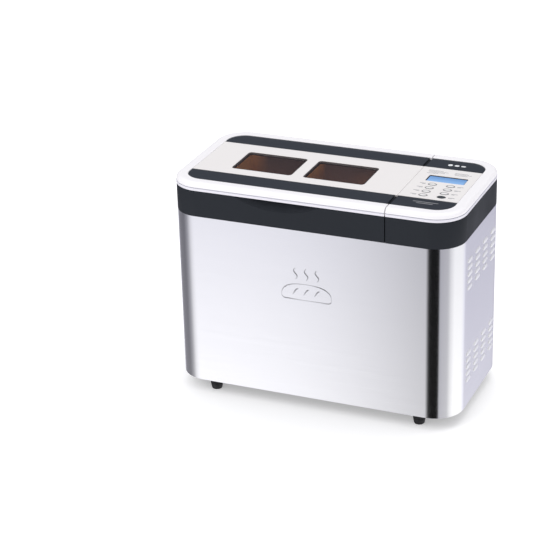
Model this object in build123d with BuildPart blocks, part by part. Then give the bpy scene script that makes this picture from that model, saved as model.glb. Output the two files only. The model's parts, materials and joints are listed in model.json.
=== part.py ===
"""Bread machine: steel body on four feet, hinged lid over a two-paddle pan, controls on the right."""
import os

from build123d import *

os.makedirs("parts", exist_ok=True)

# Driving dimensions, in millimetres. +X is the control side, -Y the front, and the feet stand on z = 0.
WIDTH = 400
DEPTH = 206
CORNER_R = 41
FOOT_H = 18
STEEL_TOP = 259
BAND_TOP = 295
RIM_TOP = 306

# Seam between the lid and the control side
LID_END_X = 103.3
CONTROL_START_X = 104.8
FASCIA_START_X = 103.9

# Steel wrap and its louvres
WRAP_INSET = 0.6
WRAP_T = 1
LOUVRE_W = 19
LOUVRE_TALL = 5.4
LOUVRE_OUT = 1.6
LOUVRE_SKIN = 0.6
LOUVRE_ROWS = 5
LOUVRE_COLUMNS = 4
LOUVRE_PITCH_Y = 33
LOUVRE_PITCH_Z = 9.5
LOUVRE_CENTRE_Y = 4
LOUVRE_CENTRES_Z = (75.4, 208.2)

# Top mouldings: a black band below, a pale rim round the top, and the panels inside the rim
BAND_INSET = 0.4
WALL = 3
RIM_SIDE = 16
RIM_FRONT = 17
RIM_SHOULDER = 6
FIT_GAP = 0.3
DECK_TOP = 302.4
PANEL_TOP = 305.4
TRIM_TOP = 305.1
PANEL_HALF_Y = 53.5
STRIPE_END_X = 100.3
STRIPE_START_X = 105.2

# Finger scoop in the front of the lid, under the rim
SCOOP_X = -43
SCOOP_CHORD = 126
SCOOP_DROP = 14.5
SCOOP_DEPTH = 11
SCOOP_TAPER = 38

# Windows in the lid
WINDOW_W = 85.6
WINDOW_D = 63.4
WINDOW_R = 5
WINDOW_PITCH = 101.6
WINDOW_X = -42.4
WINDOW_Y = -3.8
PANE_LAP = 2.8
PANE_T = 2.6
INNER_PANE_T = 3

# Lid hinge
HINGE_Y = 93
HINGE_Z = 270
LID_BOTTOM = 259.4
POST_W = 12
HINGE_XS = (-130, 70)
HINGE_PIN_R = 2
RUN_GAP = 0.05
KNUCKLE_W = 9.4
KNUCKLE_R = 7
HINGE_GAP = 0.6

# Baking chamber and pan
CHAMBER_X = -46
CHAMBER_W = 244
CHAMBER_D = 156
CHAMBER_R = 18
CHAMBER_T = 1
CHAMBER_FLOOR = 65
DECK_Z = 258.9
DECK_T = 3
SHAFT_PITCH = 110
SHAFT_XS = (CHAMBER_X - SHAFT_PITCH / 2, CHAMBER_X + SHAFT_PITCH / 2)
PAN_BOTTOM = 84
PAN_TOP = 234
PAN_TOP_W = 218
PAN_TOP_D = 128
PAN_TAPER_W = 8
PAN_R = 12
PAN_T = 1.6
PAN_LIP = 4
PAN_RING_R = 23
PAN_RING_T = 3.5
PAN_RING_LOW = 68.4
SEAT_TOP = 68
ELEMENT_Z = 96
ELEMENT_R = 3.2
ELEMENT_INSET = 8
TERMINAL_Y = 12
TERMINAL_END_X = 90
SENSOR_Z = 150
SENSOR_R = 3

# Drive train
PLATE_Z = 56
PLATE_T = 2
SHAFT_R = 5
PAN_SHAFT_R = 4
BUSH_R = 8
PULLEY_R = 34.5
MOTOR_PULLEY_R = 8
FLANGE_UP = 2.5
BELT_GAP = 0.4
BELT_T = 1.5
LINK_Z = 28
PULLEY_W = 10
FLANGE_T = 1
MOTOR_X = 152
MOTOR_R = 38
MOTOR_LOW = 69
MOTOR_TOP = 150
MOTOR_SHAFT_R = 3

# Controls
LCD_X = 146.9
LCD_Y = 16.7
LCD_W = 52.8
LCD_D = 20.7
BUTTON_RX = 5.8
BUTTON_RY = 3.8
BUTTON_GAP = 0.4
BUTTON_TOP = 306
BUTTON_LOW = 303.4
BUTTON_STEM_R = 2.5
BUTTON_CLIP_R = 4
BUTTON_STEM_LOW = 298.5
BUTTON_LEFT_X = 134.2
BUTTON_RIGHT_X = 158.7
BUTTON_YS = (-4, -16.8, -29.6, -42.4)
BUTTON_NAMES_LEFT = ("button_menu", "button_crust", "button_size", "button_light")
BUTTON_NAMES_RIGHT = ("button_time_up", "button_time_down", "button_pause", "button_start")
BOARD_Z = 291
BOARD_T = 1.6
SWITCH_TOP = 297.6


# ------------------------------------------------------------------ shared shapes

def layer(z_low, z_high, inset_x, inset_y, x_low=-WIDTH, x_high=WIDTH, mode=Mode.ADD):
    """A slice of the body's rounded outline, inset from it and kept between two x values."""
    with BuildSketch(Plane.XY.offset(z_low)) as profile:
        RectangleRounded(WIDTH - 2 * inset_x, DEPTH - 2 * inset_y, CORNER_R - inset_x)
        with Locations(((x_low + x_high) / 2, 0)):
            Rectangle(x_high - x_low, DEPTH, mode=Mode.INTERSECT)
    extrude(profile.sketch, amount=z_high - z_low, mode=mode)


def slab(x, y, width, depth, z_low, z_high, radius=0, mode=Mode.ADD):
    """An upright block, with rounded vertical edges where a radius is given."""
    with BuildSketch(Plane.XY.offset(z_low)) as profile:
        with Locations((x, y)):
            if radius:
                RectangleRounded(width, depth, radius)
            else:
                Rectangle(width, depth)
    extrude(profile.sketch, amount=z_high - z_low, mode=mode)


def rod(x, y, radius, z_low, z_high, mode=Mode.ADD):
    """An upright cylinder."""
    with BuildSketch(Plane.XY.offset(z_low)) as profile:
        with Locations((x, y)):
            Circle(radius)
    extrude(profile.sketch, amount=z_high - z_low, mode=mode)


def rod_x(y, z, radius, x_low, x_high, mode=Mode.ADD):
    """A cylinder along x."""
    with BuildSketch(Plane.YZ.offset(x_low)) as profile:
        with Locations((y, z)):
            Circle(radius)
    extrude(profile.sketch, amount=x_high - x_low, mode=mode)


def rod_y(x, z, radius, y_low, y_high, mode=Mode.ADD):
    """A cylinder along y."""
    with BuildSketch(Plane.XZ.offset(-y_low)) as profile:
        with Locations((x, z)):
            Circle(radius)
    extrude(profile.sketch, amount=y_low - y_high, mode=mode)


def window_cuts(lap, z_low, z_high):
    """Two openings side by side, larger than the windows by a lap on every side."""
    with BuildSketch(Plane.XY.offset(z_low)) as profile:
        with Locations((WINDOW_X, WINDOW_Y)):
            with GridLocations(WINDOW_PITCH, 0, 2, 1):
                RectangleRounded(WINDOW_W + 2 * lap, WINDOW_D + 2 * lap, WINDOW_R)
    extrude(profile.sketch, amount=z_high - z_low, mode=Mode.SUBTRACT)


def top_shell(z_low, wall, x_low, x_high, mode):
    """The stepped block of a top moulding: band below, raised deck inside the rim above."""
    inner = RIM_SIDE + FIT_GAP + wall
    inner_y = RIM_FRONT + FIT_GAP + wall
    layer(z_low, BAND_TOP - wall, BAND_INSET + wall, BAND_INSET + wall, x_low, x_high, mode)
    layer(BAND_TOP - wall, DECK_TOP - wall, inner, inner_y, x_low, x_high, mode)


def rim(x_low, x_high):
    """A pale rim with a rounded outer shoulder and a fine step below it."""
    step_low = BAND_TOP + 2.4
    step_high = BAND_TOP + 3.1
    with BuildPart() as ring:
        with BuildSketch(Plane.XY.offset(BAND_TOP)):
            RectangleRounded(WIDTH, DEPTH, CORNER_R)
        extrude(amount=RIM_TOP - BAND_TOP)
        top_edges = ring.faces().sort_by(Axis.Z)[-1].edges()
        fillet(top_edges, RIM_SHOULDER)
        layer(BAND_TOP, RIM_TOP, RIM_SIDE, RIM_FRONT, mode=Mode.SUBTRACT)
        inner_edges = ring.faces().sort_by(Axis.Z)[-1].inner_wires()[0].edges()
        fillet(inner_edges, 1)
        with BuildSketch(Plane.XY.offset(step_low)):
            RectangleRounded(WIDTH, DEPTH, CORNER_R)
            RectangleRounded(WIDTH - 0.8, DEPTH - 0.8, CORNER_R - 0.4, mode=Mode.SUBTRACT)
        extrude(amount=step_high - step_low, mode=Mode.SUBTRACT)
        slab((x_low + x_high) / 2, 0, x_high - x_low, DEPTH, BAND_TOP, RIM_TOP, mode=Mode.INTERSECT)
    return ring


def stripe(y_low, y_high, x_low, x_high):
    """A black trim strip that fills one long side of the space inside the rim."""
    with BuildPart() as strip:
        layer(DECK_TOP, TRIM_TOP, RIM_SIDE + FIT_GAP, RIM_FRONT + FIT_GAP, x_low, x_high)
        slab(
            (x_low + x_high) / 2, (y_low + y_high) / 2, x_high - x_low, y_high - y_low,
            DECK_TOP, TRIM_TOP, mode=Mode.INTERSECT,
        )
    return strip


def belt(x_a, radius_a, x_b, radius_b, z_low):
    """A flat closed belt round two pulleys, standing just off their grooves."""
    with BuildPart() as loop:
        for outward, mode in ((BELT_GAP + BELT_T, Mode.ADD), (BELT_GAP, Mode.SUBTRACT)):
            with BuildSketch(Plane.XY.offset(z_low)):
                with Locations((x_a, 0)):
                    Circle(radius_a + outward)
                with Locations((x_b, 0)):
                    Circle(radius_b + outward)
                make_hull()
            extrude(amount=PULLEY_W - 2 * FLANGE_T - 2 * BELT_GAP, mode=mode)
    return loop


def pulley_deck(x, radius, z_low):
    """A flanged belt groove."""
    rod(x, 0, radius, z_low, z_low + PULLEY_W)
    rod(x, 0, radius + FLANGE_UP, z_low, z_low + FLANGE_T)
    rod(x, 0, radius + FLANGE_UP, z_low + PULLEY_W - FLANGE_T, z_low + PULLEY_W)


def write(name, piece):
    """Label a finished piece and write its file."""
    piece.part.label = name
    export_step(piece.part, f"parts/{name}.step")


# ------------------------------------------------------------------ body, base and feet

LOUVRE_X = WIDTH / 2 - WRAP_INSET
GLAND_X = 150
GLAND_Z = 38.5
GLAND_R = 7

with BuildPart() as outer_wrap:
    layer(FOOT_H, STEEL_TOP, WRAP_INSET, WRAP_INSET)
    inner_inset = WRAP_INSET + WRAP_T
    layer(FOOT_H, STEEL_TOP, inner_inset, inner_inset, mode=Mode.SUBTRACT)
    for side in (-1, 1):
        for centre_z in LOUVRE_CENTRES_Z:
            with BuildSketch(Plane.YZ.offset(side * LOUVRE_X)):
                with Locations((LOUVRE_CENTRE_Y, centre_z)):
                    with GridLocations(LOUVRE_PITCH_Y, LOUVRE_PITCH_Z, LOUVRE_COLUMNS, LOUVRE_ROWS):
                        SlotOverall(LOUVRE_W, LOUVRE_TALL)
            extrude(amount=side * LOUVRE_OUT)
            with BuildSketch(Plane.YZ.offset(side * (LOUVRE_X - WRAP_T))):
                with Locations((LOUVRE_CENTRE_Y, centre_z)):
                    with GridLocations(LOUVRE_PITCH_Y, LOUVRE_PITCH_Z, LOUVRE_COLUMNS, LOUVRE_ROWS):
                        SlotOverall(LOUVRE_W - 2 * LOUVRE_SKIN, LOUVRE_TALL - 2 * LOUVRE_SKIN)
            extrude(amount=side * (WRAP_T + LOUVRE_OUT - LOUVRE_SKIN), mode=Mode.SUBTRACT)
            mouth_z = centre_z - LOUVRE_TALL / 2 + LOUVRE_SKIN
            with BuildSketch(Plane.YZ.offset(side * LOUVRE_X)):
                with Locations((LOUVRE_CENTRE_Y, mouth_z)):
                    with GridLocations(LOUVRE_PITCH_Y, LOUVRE_PITCH_Z, LOUVRE_COLUMNS, LOUVRE_ROWS):
                        Rectangle(LOUVRE_W - LOUVRE_TALL, 2 * LOUVRE_SKIN)
            extrude(amount=side * (LOUVRE_OUT - LOUVRE_SKIN), mode=Mode.SUBTRACT)
    # The gland's notch is square, so that the gland can't turn, and open below, so that the wrap
    # lifts off and leaves the cord in the base
    notch_half = GLAND_R + 0.1
    slab(GLAND_X, DEPTH / 2 - 2.5, 2 * notch_half, 5, FOOT_H, GLAND_Z + notch_half, mode=Mode.SUBTRACT)
write("outer_wrap", outer_wrap)

BASE_T = 2.5
BASE_LIP_H = 10
BASE_INSET = WRAP_INSET + WRAP_T + 0.1
FOOT_X = 146
FOOT_Y = 85
FOOT_TOP_R = 9.5
FOOT_LOW_R = 7.2
SCREW_R = 2
SCREW_HEAD_R = 4
SCREW_HEAD_Z = 4
SCREW_SHANK_Z = 7
SCREW_TOP = 27

with BuildPart() as base_plate:
    layer(FOOT_H, FOOT_H + BASE_LIP_H, BASE_INSET, BASE_INSET)
    lip_inset = BASE_INSET + 1.5
    layer(FOOT_H + BASE_T, FOOT_H + BASE_LIP_H, lip_inset, lip_inset, mode=Mode.SUBTRACT)
    with BuildSketch(Plane.XY.offset(FOOT_H)):
        with GridLocations(2 * FOOT_X, 2 * FOOT_Y, 2, 2):
            Circle(SCREW_R)
        with GridLocations(24, 14, 9, 5):
            SlotOverall(16, 4)
    extrude(amount=BASE_T, mode=Mode.SUBTRACT)
write("base_plate", base_plate)

with BuildPart() as feet:
    with GridLocations(2 * FOOT_X, 2 * FOOT_Y, 2, 2):
        Cone(FOOT_LOW_R, FOOT_TOP_R, FOOT_H, align=(Align.CENTER, Align.CENTER, Align.MIN))
    fillet(feet.edges().group_by(Axis.Z)[0], 1)
    with GridLocations(2 * FOOT_X, 2 * FOOT_Y, 2, 2):
        Cylinder(SCREW_HEAD_R + 0.4, SCREW_SHANK_Z, align=(Align.CENTER, Align.CENTER, Align.MIN),
                 mode=Mode.SUBTRACT)
        Cylinder(SCREW_R, FOOT_H, align=(Align.CENTER, Align.CENTER, Align.MIN), mode=Mode.SUBTRACT)
write("feet", feet)

with BuildPart() as foot_screws:
    with BuildSketch(Plane.XY.offset(SCREW_HEAD_Z)):
        with GridLocations(2 * FOOT_X, 2 * FOOT_Y, 2, 2):
            Circle(SCREW_HEAD_R)
    extrude(amount=SCREW_SHANK_Z - SCREW_HEAD_Z)
    with BuildSketch(Plane.XY.offset(SCREW_SHANK_Z)):
        with GridLocations(2 * FOOT_X, 2 * FOOT_Y, 2, 2):
            Circle(SCREW_R)
    extrude(amount=SCREW_TOP - SCREW_SHANK_Z)
    with BuildSketch(Plane.XY.offset(SCREW_HEAD_Z)):
        with GridLocations(2 * FOOT_X, 2 * FOOT_Y, 2, 2):
            Rectangle(5, 1)
            Rectangle(1, 5)
    extrude(amount=1.5, mode=Mode.SUBTRACT)
write("foot_screws", foot_screws)

GLAND_BORE_R = 4
GLAND_FLANGE_R = 10.5
GLAND_NUT_R = 10
GLAND_IN_Y = 88
BACK_SKIN_Y = DEPTH / 2 - WRAP_INSET

with BuildPart() as cord_gland:
    rod_y(GLAND_X, GLAND_Z, GLAND_R, GLAND_IN_Y, DEPTH / 2)
    rod_y(GLAND_X, GLAND_Z, GLAND_FLANGE_R, BACK_SKIN_Y, DEPTH / 2)
    rod_y(GLAND_X, GLAND_Z, GLAND_NUT_R, BACK_SKIN_Y - WRAP_T - 4, BACK_SKIN_Y - WRAP_T)
    slab(GLAND_X, BACK_SKIN_Y - WRAP_T / 2, 2 * GLAND_R, WRAP_T, GLAND_Z - GLAND_R, GLAND_Z + GLAND_R)
    rod_y(GLAND_X, GLAND_Z, GLAND_BORE_R, GLAND_IN_Y, DEPTH / 2, mode=Mode.SUBTRACT)
write("cord_gland", cord_gland)

# ------------------------------------------------------------------ deck and baking chamber

DECK_INSET = WRAP_INSET + WRAP_T + 0.2
DECK_LOW = DECK_Z - DECK_T
CONTROL_BAY_X = 150
CONTROL_BAY_W = 76
CONTROL_BAY_D = 150
POST_HOLE = POST_W + 0.6

with BuildPart() as deck_frame:
    layer(DECK_LOW - 12, DECK_Z, DECK_INSET, DECK_INSET)
    layer(DECK_LOW - 12, DECK_LOW, DECK_INSET + 2.5, DECK_INSET + 2.5, mode=Mode.SUBTRACT)
    slab(CHAMBER_X, 0, CHAMBER_W, CHAMBER_D, DECK_LOW, DECK_Z, CHAMBER_R, mode=Mode.SUBTRACT)
    slab(CONTROL_BAY_X, 0, CONTROL_BAY_W, CONTROL_BAY_D, DECK_LOW, DECK_Z, 10, mode=Mode.SUBTRACT)
    for hinge_x in HINGE_XS:
        slab(hinge_x, HINGE_Y, POST_HOLE, POST_HOLE, DECK_LOW, DECK_Z, mode=Mode.SUBTRACT)
write("deck_frame", deck_frame)

CHAMBER_FLANGE = 6
CHAMBER_WALL_X = CHAMBER_X + CHAMBER_W / 2

with BuildPart() as chamber:
    outer_w = CHAMBER_W + 2 * CHAMBER_T
    outer_d = CHAMBER_D + 2 * CHAMBER_T
    chamber_low = CHAMBER_FLOOR - CHAMBER_T
    slab(CHAMBER_X, 0, outer_w, outer_d, chamber_low, DECK_LOW, CHAMBER_R + CHAMBER_T)
    slab(CHAMBER_X, 0, outer_w + 2 * CHAMBER_FLANGE, outer_d + 2 * CHAMBER_FLANGE,
         DECK_LOW - CHAMBER_T, DECK_LOW, CHAMBER_R + CHAMBER_FLANGE)
    slab(CHAMBER_X, 0, CHAMBER_W, CHAMBER_D, CHAMBER_FLOOR, DECK_LOW, CHAMBER_R, mode=Mode.SUBTRACT)
    for shaft_x in SHAFT_XS:
        rod(shaft_x, 0, BUSH_R, chamber_low, CHAMBER_FLOOR, mode=Mode.SUBTRACT)
    for terminal_y in (-TERMINAL_Y, TERMINAL_Y):
        rod_x(terminal_y, ELEMENT_Z, ELEMENT_R + 0.2, CHAMBER_WALL_X - 2, CHAMBER_WALL_X + 2,
              mode=Mode.SUBTRACT)
    rod_x(0, SENSOR_Z, SENSOR_R, CHAMBER_WALL_X - 2, CHAMBER_WALL_X + 2, mode=Mode.SUBTRACT)
write("chamber", chamber)

with BuildPart() as heating_element:
    low_x = CHAMBER_X - CHAMBER_W / 2 + ELEMENT_INSET
    high_x = CHAMBER_WALL_X - ELEMENT_INSET
    side_y = CHAMBER_D / 2 - ELEMENT_INSET
    with BuildLine(Plane.XY.offset(ELEMENT_Z)) as element_path:
        FilletPolyline(
            (TERMINAL_END_X, -TERMINAL_Y), (high_x, -TERMINAL_Y), (high_x, -side_y), (low_x, -side_y),
            (low_x, side_y), (high_x, side_y), (high_x, TERMINAL_Y), (TERMINAL_END_X, TERMINAL_Y),
            radius=9,
        )
    with BuildSketch(Plane(origin=(TERMINAL_END_X, -TERMINAL_Y, ELEMENT_Z), z_dir=(-1, 0, 0))):
        Circle(ELEMENT_R)
    sweep()
write("heating_element", heating_element)

with BuildPart() as temperature_sensor:
    rod_x(0, SENSOR_Z, SENSOR_R, CHAMBER_WALL_X - 8, CHAMBER_WALL_X + 12)
    rod_x(0, SENSOR_Z, SENSOR_R + 2, CHAMBER_WALL_X + CHAMBER_T, CHAMBER_WALL_X + 5)
write("temperature_sensor", temperature_sensor)

SHIELD_X = 92
SHIELD_T = 0.8

with BuildPart() as heat_shield:
    with BuildSketch(Plane.YZ.offset(SHIELD_X)):
        with Locations((0, 155)):
            Rectangle(168, 194)
            with GridLocations(20, 150, 7, 2):
                SlotOverall(12, 4, mode=Mode.SUBTRACT)
    extrude(amount=SHIELD_T)
write("heat_shield", heat_shield)

with BuildPart() as pan_seat:
    slab(CHAMBER_X, 0, SHAFT_PITCH + 66, 64, CHAMBER_FLOOR, SEAT_TOP, 12)
    for shaft_x in SHAFT_XS:
        rod(shaft_x, 0, PAN_RING_R + 4, SEAT_TOP, SEAT_TOP + 10)
    for shaft_x in SHAFT_XS:
        rod(shaft_x, 0, PAN_RING_R + 0.5, SEAT_TOP, SEAT_TOP + 10, mode=Mode.SUBTRACT)
        rod(shaft_x, 0, BUSH_R, CHAMBER_FLOOR, SEAT_TOP, mode=Mode.SUBTRACT)
write("pan_seat", pan_seat)

# ------------------------------------------------------------------ drive train

PLATE_X = 14
PLATE_W = 364
PLATE_D = 150
POST_SPOTS = ((-155, 62), (-155, -62), (92, 62), (92, -62), (186, 50), (186, -50))

with BuildPart() as drive_plate:
    slab(PLATE_X, 0, PLATE_W, PLATE_D, PLATE_Z, PLATE_Z + PLATE_T, 20)
    for post_x, post_y in POST_SPOTS:
        rod(post_x, post_y, 5, FOOT_H + BASE_T, PLATE_Z)
    for shaft_x in SHAFT_XS:
        rod(shaft_x, 0, BUSH_R, PLATE_Z, PLATE_Z + PLATE_T, mode=Mode.SUBTRACT)
    rod(MOTOR_X, 0, 14, PLATE_Z, PLATE_Z + PLATE_T, mode=Mode.SUBTRACT)
write("drive_plate", drive_plate)

BUSH_TOP = 69.5
BUSH_LOW = 52

with BuildPart() as shaft_bearings:
    for shaft_x in SHAFT_XS:
        rod(shaft_x, 0, BUSH_R, BUSH_LOW, BUSH_TOP)
        rod(shaft_x, 0, BUSH_R + 5, PLATE_Z - 2.5, PLATE_Z)
    for shaft_x in SHAFT_XS:
        rod(shaft_x, 0, SHAFT_R + RUN_GAP, BUSH_LOW, BUSH_TOP, mode=Mode.SUBTRACT)
write("shaft_bearings", shaft_bearings)

DOG_LOW = 70
DOG_TOP = 72.5
DOG_R = 17
LUG_TOP = 79.5
WING_LOW = 73.4
WING_TOP = 78.8
WING_W = 6
WING_L = 28
LUG_X = 9.5
LUG_Y = 6.4
LUG_SIZE = (7, 6)
SHAFT_LOW = 26


def drive_shaft(x):
    """A shaft with a disc on its upper end and two lugs that push the pan's wing."""
    with BuildPart() as shaft:
        rod(x, 0, SHAFT_R, SHAFT_LOW, DOG_TOP)
        rod(x, 0, DOG_R, DOG_LOW, DOG_TOP)
        for turn in (1, -1):
            slab(x + turn * LUG_X, -turn * LUG_Y, *LUG_SIZE, DOG_TOP, LUG_TOP)
    return shaft


def pulley(x, decks):
    """A pulley with one belt groove for each deck height and a hub above them."""
    hub_top = max(decks) + PULLEY_W + 1.5
    with BuildPart() as wheel:
        for deck_z in decks:
            pulley_deck(x, PULLEY_R, deck_z)
        rod(x, 0, SHAFT_R + 5, min(decks), hub_top)
        with BuildSketch(Plane.XY.offset(min(decks))):
            with Locations((x, 0)):
                with PolarLocations(21, 6):
                    Circle(7)
        extrude(amount=max(decks) + PULLEY_W - min(decks), mode=Mode.SUBTRACT)
        rod(x, 0, SHAFT_R, min(decks), hub_top, mode=Mode.SUBTRACT)
    return wheel


write("drive_shaft_left", drive_shaft(SHAFT_XS[0]))
write("drive_shaft_right", drive_shaft(SHAFT_XS[1]))
write("pulley_left", pulley(SHAFT_XS[0], (LINK_Z,)))
write("pulley_right", pulley(SHAFT_XS[1], (LINK_Z, LINK_Z + PULLEY_W)))

BELT_LIFT = FLANGE_T + BELT_GAP
DRIVE_DECK_Z = LINK_Z + PULLEY_W

write("link_belt", belt(SHAFT_XS[0], PULLEY_R, SHAFT_XS[1], PULLEY_R, LINK_Z + BELT_LIFT))
write("drive_belt", belt(SHAFT_XS[1], PULLEY_R, MOTOR_X, MOTOR_PULLEY_R, DRIVE_DECK_Z + BELT_LIFT))

with BuildPart() as motor_pulley:
    pulley_deck(MOTOR_X, MOTOR_PULLEY_R, DRIVE_DECK_Z)
    rod(MOTOR_X, 0, MOTOR_SHAFT_R, DRIVE_DECK_Z - 1, MOTOR_LOW + 20)
write("motor_pulley", motor_pulley)

with BuildPart() as motor:
    rod(MOTOR_X, 0, MOTOR_R, MOTOR_LOW, MOTOR_TOP)
    fillet(motor.edges().group_by(Axis.Z)[-1], 5)
    rod(MOTOR_X, 0, 9, MOTOR_LOW - 4, MOTOR_LOW)
    rod(MOTOR_X, 0, 8, MOTOR_TOP, MOTOR_TOP + 4)
    with BuildSketch(Plane.XY.offset(MOTOR_LOW + 24)):
        with Locations((MOTOR_X, 0)):
            with PolarLocations(MOTOR_R, 10):
                Rectangle(5, 9)
    extrude(amount=36, mode=Mode.SUBTRACT)
    rod(MOTOR_X, 0, MOTOR_SHAFT_R + RUN_GAP, MOTOR_LOW - 4, MOTOR_LOW + 22, mode=Mode.SUBTRACT)
write("motor", motor)

with BuildPart() as motor_bracket:
    slab(MOTOR_X, 0, 84, 100, MOTOR_LOW - 3, MOTOR_LOW, 6)
    for foot_y in (-46, 46):
        slab(MOTOR_X, foot_y, 60, 8, PLATE_Z + PLATE_T, MOTOR_LOW - 3)
    rod(MOTOR_X, 0, 9, MOTOR_LOW - 3, MOTOR_LOW, mode=Mode.SUBTRACT)
write("motor_bracket", motor_bracket)

with BuildPart() as capacitor:
    slab(140, 62, 48, 18, PLATE_Z + PLATE_T, PLATE_Z + PLATE_T + 34, 3)
    fillet(capacitor.edges().group_by(Axis.Z)[-1], 1.5)
write("capacitor", capacitor)

POWER_BOARD_X = 97

with BuildPart() as power_board:
    with BuildSketch(Plane.YZ.offset(POWER_BOARD_X)):
        with Locations((0, 200)):
            Rectangle(120, 76)
    extrude(amount=BOARD_T)
    for spot_y, spot_z, size_y, size_z, tall in (
        (-34, 212, 34, 30, 26), (8, 216, 16, 12, 15), (30, 214, 10, 26, 14),
        (8, 186, 26, 8, 10), (-36, 176, 20, 12, 12), (42, 180, 14, 14, 20),
    ):
        with BuildSketch(Plane.YZ.offset(POWER_BOARD_X + BOARD_T)):
            with Locations((spot_y, spot_z)):
                Rectangle(size_y, size_z)
        extrude(amount=tall)
    for spot_y in (-55, 55):
        for spot_z in (167, 233):
            rod_x(spot_y, spot_z, 2.5, SHIELD_X + SHIELD_T, POWER_BOARD_X)
write("power_board", power_board)

# ------------------------------------------------------------------ bread pan

RIVET_Z = 224
RIVET_R = 2
PAN_END_X = PAN_TOP_W / 2 - 0.5

with BuildPart() as bread_pan:
    for shrink, mode in ((0, Mode.ADD), (PAN_T, Mode.SUBTRACT)):
        with BuildSketch(Plane.XY.offset(PAN_BOTTOM + shrink)):
            with Locations((CHAMBER_X, 0)):
                RectangleRounded(PAN_TOP_W - PAN_TAPER_W - 2 * shrink,
                                 PAN_TOP_D - PAN_TAPER_W - 2 * shrink, PAN_R - shrink)
        with BuildSketch(Plane.XY.offset(PAN_TOP)):
            with Locations((CHAMBER_X, 0)):
                RectangleRounded(PAN_TOP_W - 2 * shrink, PAN_TOP_D - 2 * shrink, PAN_R - shrink)
        loft(mode=mode)
    with BuildSketch(Plane.XY.offset(PAN_TOP - PAN_T)):
        with Locations((CHAMBER_X, 0)):
            RectangleRounded(PAN_TOP_W + 2 * PAN_LIP, PAN_TOP_D + 2 * PAN_LIP, PAN_R + PAN_LIP)
            RectangleRounded(PAN_TOP_W - 1, PAN_TOP_D - 1, PAN_R, mode=Mode.SUBTRACT)
    extrude(amount=PAN_T)
    for shaft_x in SHAFT_XS:
        rod(shaft_x, 0, PAN_RING_R, PAN_RING_LOW, PAN_BOTTOM)
    for shaft_x in SHAFT_XS:
        rod(shaft_x, 0, PAN_RING_R - PAN_RING_T, PAN_RING_LOW, PAN_BOTTOM, mode=Mode.SUBTRACT)
        rod(shaft_x, 0, PAN_SHAFT_R + 3, PAN_BOTTOM - 1, PAN_BOTTOM + 4, mode=Mode.SUBTRACT)
    rod_x(0, RIVET_Z, RIVET_R, CHAMBER_X - WIDTH / 2, CHAMBER_X + WIDTH / 2, mode=Mode.SUBTRACT)
write("bread_pan", bread_pan)

with BuildPart() as pan_bushes:
    for shaft_x in SHAFT_XS:
        rod(shaft_x, 0, PAN_SHAFT_R + 3, PAN_BOTTOM - 2, PAN_BOTTOM + 3.4)
        rod(shaft_x, 0, PAN_SHAFT_R + 6, PAN_BOTTOM - 2, PAN_BOTTOM)
    for shaft_x in SHAFT_XS:
        rod(shaft_x, 0, PAN_SHAFT_R + RUN_GAP, PAN_BOTTOM - 2, PAN_BOTTOM + 3.4, mode=Mode.SUBTRACT)
write("pan_bushes", pan_bushes)

PAN_SHAFT_TOP = 116
PADDLE_LOW = 88.4
PADDLE_TOP = 112
PADDLE_HUB_R = 8
PADDLE_REACH = 40


def pan_shaft(x):
    """A short shaft through the pan's floor with a wing below it."""
    with BuildPart() as shaft:
        rod(x, 0, PAN_SHAFT_R, WING_LOW, PAN_SHAFT_TOP)
        slab(x, 0, WING_L, WING_W, WING_LOW, WING_TOP, 2.5)
    return shaft


def paddle(x, side):
    """A kneading paddle: a hub with one swept blade whose upper edge falls away outwards."""
    with BuildPart() as blade:
        rod(x, 0, PADDLE_HUB_R, PADDLE_LOW, PADDLE_TOP)
        with BuildSketch(Plane.XZ.offset(-2.5)):
            with BuildLine():
                Polyline(
                    (x, PADDLE_LOW), (x + side * PADDLE_REACH, PADDLE_LOW),
                    (x + side * PADDLE_REACH, PADDLE_LOW + 8), (x + side * 14, PADDLE_TOP + 5),
                    (x, PADDLE_TOP), close=True,
                )
            make_face()
        extrude(amount=5)
        fillet(blade.edges().filter_by(Axis.Y).sort_by(Axis.X)[-1 if side > 0 else 0], 3)
        rod(x, 0, PAN_SHAFT_R, PADDLE_LOW, PAN_SHAFT_TOP, mode=Mode.SUBTRACT)
    return blade


for shaft_x, name, blade_side in ((SHAFT_XS[0], "left", 1), (SHAFT_XS[1], "right", -1)):
    write(f"pan_shaft_{name}", pan_shaft(shaft_x))
    write(f"paddle_{name}", paddle(shaft_x, blade_side))

BAIL_R = 2
BAIL_X = PAN_TOP_W / 2 + 7.5
BAIL_BAR_Y = 68
BAIL_BAR_Z = 238.5
EYE_R = 4.5
EYE_T = 3

with BuildPart() as bail_handle:
    with BuildLine() as bail_path:
        FilletPolyline(
            (CHAMBER_X - BAIL_X, 0, RIVET_Z), (CHAMBER_X - BAIL_X, BAIL_BAR_Y, BAIL_BAR_Z),
            (CHAMBER_X + BAIL_X, BAIL_BAR_Y, BAIL_BAR_Z), (CHAMBER_X + BAIL_X, 0, RIVET_Z),
            radius=14,
        )
    with BuildSketch(Plane(origin=bail_path.line @ 0, z_dir=bail_path.line % 0)):
        Circle(BAIL_R)
    sweep()
    for side in (-1, 1):
        eye_x = CHAMBER_X + side * BAIL_X
        rod_x(0, RIVET_Z, EYE_R, eye_x - EYE_T / 2, eye_x + EYE_T / 2)
        rod_x(0, RIVET_Z, RIVET_R + RUN_GAP, eye_x - 4, eye_x + 4, mode=Mode.SUBTRACT)
write("bail_handle", bail_handle)

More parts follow.
